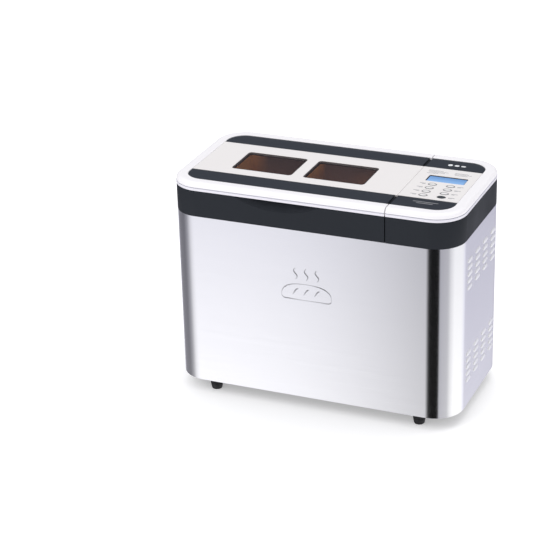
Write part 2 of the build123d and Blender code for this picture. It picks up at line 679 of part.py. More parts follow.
with BuildPart() as bail_pivots:
    for side in (-1, 1):
        ends = sorted((CHAMBER_X + side * (PAN_END_X - 3), CHAMBER_X + side * (BAIL_X + BAIL_R + 0.4)))
        rod_x(0, RIVET_Z, RIVET_R, *ends)
        head_x = BAIL_X + BAIL_R + 0.4
        head = sorted((CHAMBER_X + side * head_x, CHAMBER_X + side * (head_x + 1.4)))
        rod_x(0, RIVET_Z, RIVET_R + 1.8, *head)
        inner = sorted((CHAMBER_X + side * (PAN_END_X - 4), CHAMBER_X + side * (PAN_END_X - 2.4)))
        rod_x(0, RIVET_Z, RIVET_R + 1.8, *inner)
write("bail_pivots", bail_pivots)

# ------------------------------------------------------------------ control side

with BuildPart() as control_frame:
    top_shell(STEEL_TOP, 0, CONTROL_START_X, WIDTH, Mode.ADD)
    top_shell(STEEL_TOP, WALL, CONTROL_START_X + WALL, WIDTH, Mode.SUBTRACT)
    slab(LCD_X, LCD_Y, LCD_W, LCD_D, DECK_TOP - WALL, DECK_TOP, mode=Mode.SUBTRACT)
    for button_x in (BUTTON_LEFT_X, BUTTON_RIGHT_X):
        for button_y in BUTTON_YS:
            rod(button_x, button_y, BUTTON_STEM_R + 0.8, DECK_TOP - WALL, DECK_TOP, mode=Mode.SUBTRACT)
    for boss_x in (116, 176):
        for boss_y in (-50, 46):
            rod(boss_x, boss_y, 3, BOARD_Z + BOARD_T, DECK_TOP - WALL)
write("control_frame", control_frame)

write("control_rim", rim(CONTROL_START_X, WIDTH / 2))
STRIPE_OUT_Y = DEPTH / 2 - RIM_FRONT
write("control_front_trim", stripe(-STRIPE_OUT_Y, -PANEL_HALF_Y, STRIPE_START_X, WIDTH / 2))
write("control_rear_trim", stripe(PANEL_HALF_Y, STRIPE_OUT_Y, STRIPE_START_X, WIDTH / 2))

FASCIA_END_X = WIDTH / 2 - RIM_SIDE - FIT_GAP

with BuildPart() as control_fascia:
    fascia_w = FASCIA_END_X - FASCIA_START_X
    fascia_d = 2 * (PANEL_HALF_Y - FIT_GAP)
    slab(FASCIA_START_X + fascia_w / 2, 0, fascia_w, fascia_d, DECK_TOP, PANEL_TOP)
    slab(LCD_X, LCD_Y, LCD_W, LCD_D, DECK_TOP, PANEL_TOP, 1.5, mode=Mode.SUBTRACT)
    with BuildSketch(Plane.XY.offset(DECK_TOP)):
        for button_x in (BUTTON_LEFT_X, BUTTON_RIGHT_X):
            for button_y in BUTTON_YS:
                with Locations((button_x, button_y)):
                    Ellipse(BUTTON_RX + BUTTON_GAP, BUTTON_RY + BUTTON_GAP)
    extrude(amount=PANEL_TOP - DECK_TOP, mode=Mode.SUBTRACT)
write("control_fascia", control_fascia)

with BuildPart() as display_lens:
    slab(LCD_X, LCD_Y, LCD_W - 0.4, LCD_D - 0.4, DECK_TOP, PANEL_TOP - 1, 1.3)
write("display_lens", display_lens)

with BuildPart() as display_module:
    slab(LCD_X, LCD_Y, LCD_W - 1, LCD_D - 1, BOARD_Z + BOARD_T, DECK_TOP, 0.5)
write("display_module", display_module)


def button(x, y):
    """An oval key on a round stem, with a clip below the deck that stops it coming out."""
    with BuildPart() as key:
        with BuildSketch(Plane.XY.offset(BUTTON_LOW)):
            with Locations((x, y)):
                Ellipse(BUTTON_RX, BUTTON_RY)
        extrude(amount=BUTTON_TOP - BUTTON_LOW)
        fillet(key.edges().group_by(Axis.Z)[-1], 0.8)
        rod(x, y, BUTTON_STEM_R, BUTTON_STEM_LOW, BUTTON_LOW)
        rod(x, y, BUTTON_CLIP_R, BUTTON_STEM_LOW, BUTTON_STEM_LOW + 0.6)
    return key


for column_x, names in ((BUTTON_LEFT_X, BUTTON_NAMES_LEFT), (BUTTON_RIGHT_X, BUTTON_NAMES_RIGHT)):
    for button_name, row_y in zip(names, BUTTON_YS):
        write(button_name, button(column_x, row_y))

with BuildPart() as control_board:
    slab(LCD_X, -2, 66, 106, BOARD_Z, BOARD_Z + BOARD_T, 2)
    rod(168, 44, 6, BOARD_Z - 8, BOARD_Z)
    slab(140, 10, 18, 18, BOARD_Z - 2.5, BOARD_Z)
write("control_board", control_board)

with BuildPart() as tact_switches:
    for button_x in (BUTTON_LEFT_X, BUTTON_RIGHT_X):
        for button_y in BUTTON_YS:
            slab(button_x, button_y, 6, 6, BOARD_Z + BOARD_T, SWITCH_TOP - 1)
            rod(button_x, button_y, 1.7, SWITCH_TOP - 1, SWITCH_TOP)
write("tact_switches", tact_switches)

# ------------------------------------------------------------------ lid

HINGE_R = DEPTH / 2 - BAND_INSET - HINGE_Y
LINER_Z = 264
LINER_T = 1.2
LINER_BOSSES = ((-168, -66), (-168, 66), (86, -66), (86, 66))
ROLL_START_X = -(WIDTH / 2 - CORNER_R)


def scoop():
    """A finger scoop under the rim: a low arc that slopes inwards as it rises to the rim."""
    radius = (SCOOP_CHORD ** 2 / 4 + SCOOP_DROP ** 2) / (2 * SCOOP_DROP)
    front = Plane.XZ.offset(DEPTH / 2 - BAND_INSET)
    slab(SCOOP_X, 8 - DEPTH / 2, SCOOP_CHORD + 6, 15.2, BAND_TOP - SCOOP_DROP - 4, BAND_TOP)
    with BuildSketch(front) as profile:
        with Locations((SCOOP_X, BAND_TOP - SCOOP_DROP + radius)):
            Circle(radius)
        with Locations((SCOOP_X, BAND_TOP + SCOOP_DROP)):
            Rectangle(2 * SCOOP_CHORD, 4 * SCOOP_DROP, mode=Mode.INTERSECT)
    extrude(profile.sketch, amount=-SCOOP_DEPTH, taper=SCOOP_TAPER, mode=Mode.SUBTRACT)


def behind_hinge(z_span):
    """The quarter of the hinge's cross-section that lies behind and below its axis."""
    with Locations((HINGE_Y + z_span / 2, HINGE_Z - z_span / 2)):
        Rectangle(z_span, z_span, mode=Mode.INTERSECT)


with BuildPart() as lid_frame:
    top_shell(LID_BOTTOM, 0, -WIDTH, LID_END_X, Mode.ADD)
    top_shell(LID_BOTTOM, WALL, -WIDTH, LID_END_X - WALL, Mode.SUBTRACT)
    scoop()
    with BuildSketch(Plane.YZ.offset(-WIDTH / 2)):
        Rectangle(WIDTH, 2 * WIDTH)
        behind_hinge(20)
        with Locations((HINGE_Y, HINGE_Z)):
            Circle(HINGE_R, mode=Mode.SUBTRACT)
    extrude(amount=WIDTH, mode=Mode.SUBTRACT)
    with BuildSketch(Plane.YZ.offset(ROLL_START_X)):
        with Locations((HINGE_Y, HINGE_Z)):
            Circle(HINGE_R)
            Circle(HINGE_R - 2, mode=Mode.SUBTRACT)
        behind_hinge(20)
    extrude(amount=LID_END_X - ROLL_START_X)
    for hinge_x in HINGE_XS:
        slot_w = POST_W + 2 * HINGE_GAP
        slab(hinge_x, 95, slot_w, 18, LID_BOTTOM - 1, HINGE_Z + 8, mode=Mode.SUBTRACT)
        for side in (-1, 1):
            start_x = hinge_x + side * slot_w / 2
            with BuildSketch(Plane.YZ.offset(start_x)):
                with Locations((HINGE_Y, HINGE_Z)):
                    Circle(KNUCKLE_R)
                with Locations((HINGE_Y, (HINGE_Z + BAND_TOP - 2) / 2)):
                    Rectangle(2 * KNUCKLE_R, BAND_TOP - 2 - HINGE_Z)
            extrude(amount=side * KNUCKLE_W)
        reach = slot_w / 2 + KNUCKLE_W
        rod_x(HINGE_Y, HINGE_Z, HINGE_PIN_R, hinge_x - reach, hinge_x + reach, mode=Mode.SUBTRACT)
    for boss_x, boss_y in LINER_BOSSES:
        rod(boss_x, boss_y, 4, LINER_Z + LINER_T, DECK_TOP - WALL)
    window_cuts(-PANE_LAP, DECK_TOP - WALL, DECK_TOP)
write("lid_frame", lid_frame)

write("lid_rim", rim(-WIDTH / 2, LID_END_X))
write("lid_front_trim", stripe(-STRIPE_OUT_Y, -PANEL_HALF_Y, -WIDTH / 2, STRIPE_END_X))
write("lid_rear_trim", stripe(PANEL_HALF_Y, STRIPE_OUT_Y, -WIDTH / 2, STRIPE_END_X))

with BuildPart() as lid_panel:
    panel_w = LID_END_X + FASCIA_END_X
    panel_x = (LID_END_X - FASCIA_END_X) / 2
    slab(panel_x, 0, panel_w, 2 * (PANEL_HALF_Y - FIT_GAP), DECK_TOP, PANEL_TOP)
    window_cuts(0, DECK_TOP, PANEL_TOP)
    fillet(lid_panel.faces().sort_by(Axis.Z)[-1].inner_wires().edges(), 0.4)
write("lid_panel", lid_panel)


def panes(lap, radius, z_low, thickness):
    """One pane at each window, larger than it by a lap on every side."""
    with BuildPart() as pair:
        with BuildSketch(Plane.XY.offset(z_low)):
            with Locations((WINDOW_X, WINDOW_Y)):
                with GridLocations(WINDOW_PITCH, 0, 2, 1):
                    RectangleRounded(WINDOW_W + 2 * lap, WINDOW_D + 2 * lap, radius)
        extrude(amount=thickness)
    return pair


write("window_panes", panes(-FIT_GAP, WINDOW_R - FIT_GAP, DECK_TOP, PANE_T))
write("inner_panes", panes(PANE_LAP, WINDOW_R, LINER_Z + LINER_T, INNER_PANE_T))

with BuildPart() as lid_liner:
    slab(-48, -8, 290, 176, LINER_Z, LINER_Z + 9, 30)
    slab(-48, -8, 290 - 2 * LINER_T, 176 - 2 * LINER_T, LINER_Z + LINER_T, LINER_Z + 9, 29,
         mode=Mode.SUBTRACT)
    window_cuts(-1, LINER_Z, LINER_Z + LINER_T)
write("lid_liner", lid_liner)

with BuildPart() as lid_seal:
    slab(CHAMBER_X, -1, CHAMBER_W + 14, CHAMBER_D + 12, LID_BOTTOM + 0.2, LINER_Z, CHAMBER_R + 6)
    slab(CHAMBER_X, -1, CHAMBER_W + 4, CHAMBER_D + 2, LID_BOTTOM + 0.2, LINER_Z, CHAMBER_R + 1,
         mode=Mode.SUBTRACT)
write("lid_seal", lid_seal)

with BuildPart() as hinge_pins:
    for hinge_x in HINGE_XS:
        reach = POST_W / 2 + HINGE_GAP + KNUCKLE_W - 1
        rod_x(HINGE_Y, HINGE_Z, HINGE_PIN_R, hinge_x - reach, hinge_x + reach)
write("hinge_pins", hinge_pins)

with BuildPart() as hinge_brackets:
    for hinge_x in HINGE_XS:
        slab(hinge_x, 92.8, 28, 11.4, DECK_LOW - 3, DECK_LOW)
        slab(hinge_x, HINGE_Y, POST_W, POST_W, DECK_LOW, HINGE_Z)
        rod_x(HINGE_Y, HINGE_Z, POST_W / 2, hinge_x - POST_W / 2, hinge_x + POST_W / 2)
    for hinge_x in HINGE_XS:
        rod_x(HINGE_Y, HINGE_Z, HINGE_PIN_R + RUN_GAP, hinge_x - POST_W, hinge_x + POST_W,
              mode=Mode.SUBTRACT)
write("hinge_brackets", hinge_brackets)
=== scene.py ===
"""Looks of the bread machine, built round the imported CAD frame."""
import json
import math

import bmesh
import bpy
from mathutils import Matrix, Vector


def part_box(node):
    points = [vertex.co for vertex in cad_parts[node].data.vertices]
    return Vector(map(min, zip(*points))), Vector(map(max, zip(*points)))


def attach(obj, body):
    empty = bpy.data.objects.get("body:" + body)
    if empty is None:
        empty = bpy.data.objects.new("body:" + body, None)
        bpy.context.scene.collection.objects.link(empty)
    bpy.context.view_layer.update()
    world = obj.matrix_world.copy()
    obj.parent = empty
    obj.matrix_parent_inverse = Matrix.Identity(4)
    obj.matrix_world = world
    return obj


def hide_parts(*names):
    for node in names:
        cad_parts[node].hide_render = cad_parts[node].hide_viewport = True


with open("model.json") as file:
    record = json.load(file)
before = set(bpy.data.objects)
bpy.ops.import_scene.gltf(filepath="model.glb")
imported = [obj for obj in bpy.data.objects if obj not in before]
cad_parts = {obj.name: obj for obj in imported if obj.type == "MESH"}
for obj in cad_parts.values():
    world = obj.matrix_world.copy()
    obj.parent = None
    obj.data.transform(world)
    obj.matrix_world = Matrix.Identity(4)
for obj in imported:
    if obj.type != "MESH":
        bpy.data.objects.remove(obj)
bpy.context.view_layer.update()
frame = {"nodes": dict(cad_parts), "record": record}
MM = 0.001

# ------------------------------------------------------------------ places, read from the frame

RIM_LOW, RIM_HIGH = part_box("lid_rim")
CONTROL_LOW, CONTROL_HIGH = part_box("control_rim")
WRAP_LOW, WRAP_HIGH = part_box("outer_wrap")
TRIM_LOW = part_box("lid_front_trim")[0]
FASCIA_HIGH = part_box("control_fascia")[1]
PANES_LOW, PANES_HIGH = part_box("window_panes")
HALF_W = CONTROL_HIGH.x
HALF_D = RIM_HIGH.y
LID_END = RIM_HIGH.x
CONTROL_START = CONTROL_LOW.x
CORNER_R = 41 * MM
STEEL_INSET = 0.6 * MM
RIM_WIDTH = 16.5 * MM
RIM_SIDE = HALF_W - FASCIA_HIGH.x - 0.3 * MM
RIM_FRONT = HALF_D + TRIM_LOW.y - 0.3 * MM


# ------------------------------------------------------------------ material helpers

class Shader:
    """A material with one Principled shader, and short ways to add nodes to it."""

    def __init__(self, name, colour, roughness, metallic=0.0):
        self.material = bpy.data.materials.new(name)
        self.material.use_nodes = True
        self.nodes = self.material.node_tree.nodes
        self.links = self.material.node_tree.links
        self.shader = self.nodes["Principled BSDF"]
        self.set("Base Color", (*colour, 1.0))
        self.set("Roughness", roughness)
        self.set("Metallic", metallic)
        self.space = self.nodes.new("ShaderNodeTexCoord").outputs["Object"]

    def set(self, socket, value):
        """Sets one of the shader's inputs to a constant."""
        self.shader.inputs[socket].default_value = value

    def link(self, source, socket):
        """Feeds a node's output to one of the shader's inputs."""
        self.links.new(source, self.shader.inputs[socket])

    def split(self):
        """Object coordinates as separate x, y and z outputs."""
        node = self.nodes.new("ShaderNodeSeparateXYZ")
        self.links.new(self.space, node.inputs[0])
        return node.outputs

    def scaled(self, x, y, z):
        """Object coordinates stretched along the axes, so that a texture can run along one."""
        mapping = self.nodes.new("ShaderNodeMapping")
        mapping.inputs["Scale"].default_value = (x, y, z)
        self.links.new(self.space, mapping.inputs["Vector"])
        return mapping.outputs["Vector"]

    def noise(self, scale, stretch=(1, 1, 1), detail=3.0, roughness=0.5):
        """The factor of a noise texture in object coordinates."""
        node = self.nodes.new("ShaderNodeTexNoise")
        node.inputs["Scale"].default_value = scale
        node.inputs["Detail"].default_value = detail
        node.inputs["Roughness"].default_value = roughness
        self.links.new(self.scaled(*stretch), node.inputs["Vector"])
        return node.outputs["Fac"]

    def ramp(self, source, low, high, start=0.0, end=1.0):
        """Maps a value from one range to another, and keeps it within the second."""
        node = self.nodes.new("ShaderNodeMapRange")
        node.inputs["From Min"].default_value = start
        node.inputs["From Max"].default_value = end
        node.inputs["To Min"].default_value = low
        node.inputs["To Max"].default_value = high
        self.links.new(source, node.inputs["Value"])
        return node.outputs["Result"]

    def product(self, one, other):
        """One value times another."""
        node = self.nodes.new("ShaderNodeMath")
        node.operation = "MULTIPLY"
        self.links.new(one, node.inputs[0])
        self.links.new(other, node.inputs[1])
        return node.outputs[0]

    def mix(self, factor, low, high):
        """Blends two colours, each given as a colour or as another node's output."""
        node = self.nodes.new("ShaderNodeMix")
        node.data_type = "RGBA"
        self.links.new(factor, node.inputs["Factor"])
        # the RGBA sockets are the third pair of the node
        for socket, end in ((node.inputs[6], low), (node.inputs[7], high)):
            if isinstance(end, tuple):
                socket.default_value = (*end, 1.0)
            else:
                self.links.new(end, socket)
        return node.outputs[2]

    def bump(self, height, strength, distance):
        """Tilts the surface by a height factor."""
        node = self.nodes.new("ShaderNodeBump")
        node.inputs["Strength"].default_value = strength
        node.inputs["Distance"].default_value = distance
        self.links.new(height, node.inputs["Height"])
        self.links.new(node.outputs["Normal"], self.shader.inputs["Normal"])


def toned(colour, share):
    """A colour made darker or lighter."""
    return tuple(channel * share for channel in colour)


def plastic(name, colour, roughness, grain=900, depth=0.02 * MM, shine=0.5, shade=0.93):
    """Moulded plastic: a fine surface grain, and clouds in the colour down to shade, and in the gloss."""
    made = Shader(name, colour, roughness)
    cloud = made.noise(18, detail=4)
    spread = 2.5 * (1 - shade)
    gloss = made.ramp(cloud, roughness * (1 - spread), roughness * (1 + spread), 0.3, 0.7)
    made.link(gloss, "Roughness")
    made.link(made.mix(made.noise(7, detail=3), toned(colour, shade), colour), "Base Color")
    made.bump(made.noise(grain, detail=2), 0.25, depth)
    made.set("Specular IOR Level", shine)
    return made.material


def brushed_steel(name, colour, roughness, along=(1, 1, 60), anisotropy=0.7, painted_shade_tone=None):
    """Brushed sheet: fine scratches, streaks of tone along it, and a painted shade that darkens it
    towards its top.
    """
    made = Shader(name, colour, roughness, 1.0)
    scratch = made.noise(55, along, detail=8, roughness=0.7)
    streaks = made.noise(4, (1, 1, 45), detail=4, roughness=0.6)
    made.link(made.ramp(scratch, roughness * 0.88, roughness * 1.14, 0.3, 0.7), "Roughness")
    sheet = made.mix(streaks, toned(colour, 0.94), colour)
    if painted_shade_tone:
        # painted shade: the steel turns darker and bluer towards the top of the wrap
        climb = made.ramp(made.split()["Z"], 0, 1, WRAP_LOW.z, WRAP_HIGH.z)
        sheet = made.mix(climb, sheet, painted_shade_tone)
    made.link(sheet, "Base Color")
    made.bump(scratch, 0.05, 0.03 * MM)
    made.set("Anisotropic", anisotropy)
    made.set("Anisotropic Rotation", 0.25)
    return made.material


def metal(name, colour, roughness, grain=300, wear=0.2, metallic=1.0):
    """Plain or plated metal with fine pits and uneven gloss."""
    made = Shader(name, colour, roughness, metallic)
    cloud = made.noise(30, detail=5)
    made.link(made.ramp(cloud, roughness * (1 - wear), roughness * (1 + wear), 0.3, 0.7), "Roughness")
    made.link(made.mix(cloud, toned(colour, 0.85), colour), "Base Color")
    made.bump(made.noise(grain, detail=3), 0.2, 0.03 * MM)
    return made.material


def coating(name, colour, speck, roughness):
    """Non-stick coating: dark, with fine light specks and a slight orange-peel surface."""
    made = Shader(name, colour, roughness, 0.35)
    specks = made.noise(420, detail=2)
    made.link(made.mix(made.ramp(specks, 0, 1, 0.62, 0.72), colour, speck), "Base Color")
    made.bump(made.noise(160, detail=3), 0.25, 0.05 * MM)
    return made.material


def rubber(name, colour):
    """Matt rubber with a fine uneven surface."""
    made = Shader(name, colour, 0.75)
    made.link(made.ramp(made.noise(40, detail=4), 0.62, 0.85, 0.3, 0.7), "Roughness")
    made.bump(made.noise(700, detail=3), 0.4, 0.05 * MM)
    return made.material


def tinted_glass(name, tint):
    """Smoked brown glass that lets the well below show through."""
    made = Shader(name, tint, 0.05)
    made.set("IOR", 1.5)
    made.set("Alpha", 0.34)
    made.link(made.mix(made.noise(6, detail=2), toned(tint, 0.8), tint), "Base Color")
    made.link(made.ramp(made.noise(25, detail=3), 0.03, 0.08, 0.3, 0.7), "Roughness")
    return made.material


def display(name):
    """Backlit blue display: a soft glow, with a painted shade that makes it deeper at the back and paler
    towards the front.
    """
    made = Shader(name, (0.12, 0.30, 0.66), 0.2)
    lens_low, lens_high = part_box("display_lens")
    # painted shade: darker towards the back of the lens, as the shade of its recess would make it
    depth = made.ramp(made.split()["Y"], 1.0, 0.0, lens_low.y, lens_high.y)
    backlight_with_painted_shade = made.mix(depth, (0.12, 0.275, 0.56), (0.27, 0.49, 0.83))
    made.link(backlight_with_painted_shade, "Base Color")
    made.link(backlight_with_painted_shade, "Emission Color")
    made.set("Emission Strength", 0.18)
    made.set("Coat Weight", 0.6)
    made.set("Coat Roughness", 0.08)
    made.bump(made.noise(900, detail=1), 0.1, 0.01 * MM)
    return made.material


def board(name, colour):
    """Circuit board: green mask over a faint copper weave."""
    made = Shader(name, colour, 0.4)
    weave = made.noise(500, detail=1)
    made.link(made.mix(weave, toned(colour, 0.7), toned(colour, 1.3)), "Base Color")
    made.bump(weave, 0.2, 0.02 * MM)
    return made.material


MATERIALS = {
    # The wrap's steel gets a painted shade, darker and bluer towards its top
    "brushed_steel_skin": brushed_steel("brushed_steel_skin", (0.97, 0.97, 0.98), 0.22,
                                        anisotropy=0.92, painted_shade_tone=(0.77, 0.77, 0.81)),
    "chamber_steel": brushed_steel("chamber_steel", (0.62, 0.61, 0.60), 0.34, (60, 1, 1), 0.3),
    "black_plastic": plastic("black_plastic", (0.026, 0.029, 0.035), 0.45, 1400, shine=0.05),
    "black_gloss": plastic("black_gloss", (0.024, 0.030, 0.040), 0.34, 1600, shine=0.4),
    "white_plastic": plastic("white_plastic", (0.93, 0.915, 0.93), 0.26, 1600, 0.003 * MM, shade=0.985),
    # Painted shade and painted shadow: darker copies of the white plastic for the rim's skirt and groove
    "rim_skirt_painted_shade": plastic("rim_skirt_painted_shade", (0.79, 0.77, 0.83), 0.34, 1600, 0.003 * MM, shade=0.985),
    "rim_groove_painted_shadow": plastic("rim_groove_painted_shadow", (0.66, 0.66, 0.72), 0.5, 1600, 0.01 * MM),
    "cream_plastic": plastic("cream_plastic", (0.84, 0.815, 0.80), 0.34, 1600, 0.003 * MM, shade=0.985),
    "button_grey": plastic("button_grey", (0.30, 0.30, 0.31), 0.35, 1600),
    "button_dark": plastic("button_dark", (0.05, 0.06, 0.07), 0.3, 1600),
    "pulley_plastic": plastic("pulley_plastic", (0.75, 0.72, 0.64), 0.45, 700),
    "capacitor_case": plastic("capacitor_case", (0.07, 0.12, 0.34), 0.3, 900),
    "black_sheet": plastic("black_sheet", (0.03, 0.03, 0.034), 0.55, 500, 0.05 * MM),
    "foot_rubber": rubber("foot_rubber", (0.016, 0.016, 0.018)),
    "belt_rubber": rubber("belt_rubber", (0.02, 0.02, 0.02)),
    "seal_rubber": rubber("seal_rubber", (0.45, 0.46, 0.48)),
    "zinc_steel": metal("zinc_steel", (0.60, 0.60, 0.62), 0.36),
    "bail_wire": metal("bail_wire", (0.72, 0.72, 0.74), 0.16),
    "bronze_bush": metal("bronze_bush", (0.60, 0.38, 0.18), 0.4, 600),
    "motor_case": metal("motor_case", (0.40, 0.41, 0.43), 0.45),
    "element_sheath": metal("element_sheath", (0.16, 0.14, 0.13), 0.5, 500, 0.3),
    "nonstick_coat": coating("nonstick_coat", (0.05, 0.05, 0.054), (0.22, 0.22, 0.23), 0.38),
    "display_blue": display("display_blue"),
    "board_green": board("board_green", (0.03, 0.16, 0.07)),
    "tinted_glass": tinted_glass("tinted_glass", (0.06, 0.038, 0.038)),
    "emboss_steel": metal("emboss_steel", (0.86, 0.86, 0.89), 0.16, 200),
    # painted light: a paler, half-metal copy of the wrap's steel so that the louvres read brighter
    "louvre_steel_painted_light": metal("louvre_steel_painted_light", (0.94, 0.94, 0.965), 0.3, 200, metallic=0.55),
    "button_face": plastic("button_face", (0.84, 0.83, 0.82), 0.3, 1600),
    "print_grey": plastic("print_grey", (0.22, 0.23, 0.25), 0.6, 2000),
    "print_pale": plastic("print_pale", (0.80, 0.81, 0.82), 0.5, 2000),
    "print_dim": plastic("print_dim", (0.34, 0.34, 0.35), 0.5, 2000),
    # painted shade: dark print for the window borders and the display's frame, standing in for the shade
    # of their recesses
    "painted_shade_print": plastic("painted_shade_print", (0.03, 0.022, 0.02), 0.3, 1600),
}


def dress_cad_nodes():
    """Give every CAD node the material of its slot."""
    for entry in frame["record"]["subparts"]:
        node = frame["nodes"][entry["node"]]
        node.data.materials.clear()
        node.data.materials.append(MATERIALS[entry["material_slot"]])


# ------------------------------------------------------------------ mesh helpers

def outward_mesh(name, verts, faces):
    """A mesh whose faces all look outwards."""
    mesh = bpy.data.meshes.new(name)
    mesh.from_pydata(verts, [], faces)
    build = bmesh.new()
    build.from_mesh(mesh)
    bmesh.ops.recalc_face_normals(build, faces=build.faces)
    build.to_mesh(mesh)
    build.free()
    return mesh


def place_object(name, data):
    """A mesh, a light or a camera as an object of the scene."""
    thing = bpy.data.objects.new(name, data)
    bpy.context.scene.collection.objects.link(thing)
    return thing


def shade(mesh, sharp_angle=35):
    """Smooth shading, except across edges that turn by more than an angle in degrees."""
    mesh.shade_smooth()
    mesh.set_sharp_from_angle(angle=math.radians(sharp_angle))


class Shape:
    """Vertices and faces gathered from several parts of one piece."""

    def __init__(self):
        self.verts = []
        self.faces = []
        self.kinds = []

    def add(self, verts, faces, kind=0):
        """Adds faces of one kind, which is the place of their material in the piece's list."""
        start = len(self.verts)
        self.verts.extend(verts)
        self.faces.extend(tuple(start + i for i in face) for face in faces)
        self.kinds.extend([kind] * len(faces))

    def block(self, corner, opposite):
        """A closed box between two opposite corners."""
        (x0, y0, z0), (x1, y1, z1) = corner, opposite
        verts = [(x, y, z) for z in (z0, z1) for x, y in ((x0, y0), (x1, y0), (x1, y1), (x0, y1))]
        self.add(verts, [(0, 1, 2, 3), (4, 5, 6, 7), (0, 1, 5, 4),
                         (1, 2, 6, 5), (2, 3, 7, 6), (3, 0, 4, 7)])

    def cap(self, row, kind=0):
        """One flat face across a row of points."""
        self.add(row, [tuple(range(len(row)))], kind)

    def strip(self, rows, closed_rows=False, closed_columns=True, kind=0):
        """Quads between rows of equal length."""
        count = len(rows[0])
        verts = [v for row in rows for v in row]
        faces = []
        for r in range(len(rows) if closed_rows else len(rows) - 1):
            following = (r + 1) % len(rows)
            for c in range(count if closed_columns else count - 1):
                beside = (c + 1) % count
                faces.append((r * count + c, r * count + beside,
                              following * count + beside, following * count + c))
        self.add(verts, faces, kind)

    def piece(self, name, body, materials, slot, replaced=(), sharp_angle=35):
        """Makes the shape a piece that rides on a CAD body, in place of the nodes it replaces."""
        mesh = outward_mesh(name, self.verts, self.faces)
        for material in materials:
            mesh.materials.append(material)
        mesh.polygons.foreach_set("material_index", self.kinds)
        shade(mesh, sharp_angle)
        piece = place_object(name, mesh)
        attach(piece, body)
        if replaced:
            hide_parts(*replaced)
        return piece


def body_path(x_low=None, x_high=None, corner_steps=20):
    """Stations anticlockwise round the rounded body outline: arc centre and outward normal.

    A path cut at x_high runs rear, left, front; one cut at x_low runs front, right, rear."""
    reach_x = HALF_W - CORNER_R
    reach_y = HALF_D - CORNER_R

    def corner(centre_x, centre_y, start):
        """The stations of one corner, a quarter turn on from its starting angle."""
        turn = math.pi / 2 / corner_steps
        angles = [start + turn * i for i in range(corner_steps + 1)]
        return [(centre_x, centre_y, math.cos(a), math.sin(a)) for a in angles]

    front_right = corner(reach_x, -reach_y, -math.pi / 2)
    rear_right = corner(reach_x, reach_y, 0)
    rear_left = corner(-reach_x, reach_y, math.pi / 2)
    front_left = corner(-reach_x, -reach_y, math.pi)
    if x_high is not None:
        return [(x_high, reach_y, 0, 1)] + rear_left + front_left + [(x_high, -reach_y, 0, -1)]
    if x_low is not None:
        return [(x_low, -reach_y, 0, -1)] + front_right + rear_right + [(x_low, reach_y, 0, 1)]
    return front_right + rear_right + rear_left + front_left


def swept(profile, path, closed, stretch=(1, 1)):
    """Sweeps a closed profile of (inset, height) round the body outline."""
    shape = Shape()
    rows = []
    for centre_x, centre_y, normal_x, normal_y in path:
        rows.append([
            (centre_x + (CORNER_R - inset * stretch[0]) * normal_x,
             centre_y + (CORNER_R - inset * stretch[1]) * normal_y, height)
            for inset, height in profile
        ])
    shape.strip(rows, closed_rows=closed)
    if not closed:
        shape.cap(rows[0])
        shape.cap(rows[-1])
    return shape


def arc(centre_a, centre_b, radius, start, end, steps):
    """Points of an arc in a two-dimensional profile, angles in degrees."""
    turns = [math.radians(start + (end - start) * i / steps) for i in range(steps + 1)]
    return [(centre_a + radius * math.cos(t), centre_b + radius * math.sin(t)) for t in turns]


def oval(x, y, radius_x, radius_y, z, steps=40):
    """Points of a level ellipse, anticlockwise."""
    turns = [2 * math.pi * i / steps for i in range(steps)]
    return [(x + radius_x * math.cos(t), y + radius_y * math.sin(t), z) for t in turns]


def rounded_rectangle(width, depth, radius, steps=8):
    """Corner points of a rounded rectangle about the origin, anticlockwise."""
    points = []
    for sign_x, sign_y, start in ((1, 1, 0), (-1, 1, 90), (-1, -1, 180), (1, -1, 270)):
        points += arc(sign_x * (width / 2 - radius), sign_y * (depth / 2 - radius), radius,
                      start, start + 90, steps)
    return points


WELD_GAP = 0.005 * MM
BEVEL_WIDTH = 0.4 * MM
BEVEL_ANGLE = 40


def soften(node):
    """Rounds the sharp edges of a CAD node with modifiers, and leaves its mesh as it is."""
    thing = frame["nodes"][node]
    weld = thing.modifiers.new("weld", "WELD")
    weld.merge_threshold = WELD_GAP
    bevel = thing.modifiers.new("bevel", "BEVEL")
    bevel.width = BEVEL_WIDTH
    bevel.segments = 2
    bevel.limit_method = "ANGLE"
    bevel.angle_limit = math.radians(BEVEL_ANGLE)
    bevel.use_clamp_overlap = True


# ------------------------------------------------------------------ steel body

SHEET = 1 * MM
SHEET_EDGE = 0.3 * MM
LOUVRE_LENGTH = 19 * MM
LOUVRE_TALL = 5.4 * MM
LOUVRE_LIP = 0.6 * MM
LOUVRE_SKIN = 0.5 * MM
LOUVRE_PITCH = (33 * MM, 9.5 * MM)
LOUVRE_GRID = (4, 5)
LOUVRE_CENTRE_Y = 4 * MM
LOUVRE_CENTRES_Z = (75.4 * MM, 208.2 * MM)
LOUVRE_STEPS = (16, 8)
SLIT_TALL = 2.2 * MM
GLAND_NOTCH = 7.1 * MM
CUT_IN = 4 * MM
CUT_OUT = 2 * MM


def louvre_spots():
    """Centres of the pressed louvres of one side, as (y, z)."""
    columns, rows = LOUVRE_GRID
    for centre_z in LOUVRE_CENTRES_Z:
        for column in range(columns):
            for row in range(rows):
                yield (LOUVRE_CENTRE_Y + (column - (columns - 1) / 2) * LOUVRE_PITCH[0],
                       centre_z + (row - (rows - 1) / 2) * LOUVRE_PITCH[1])


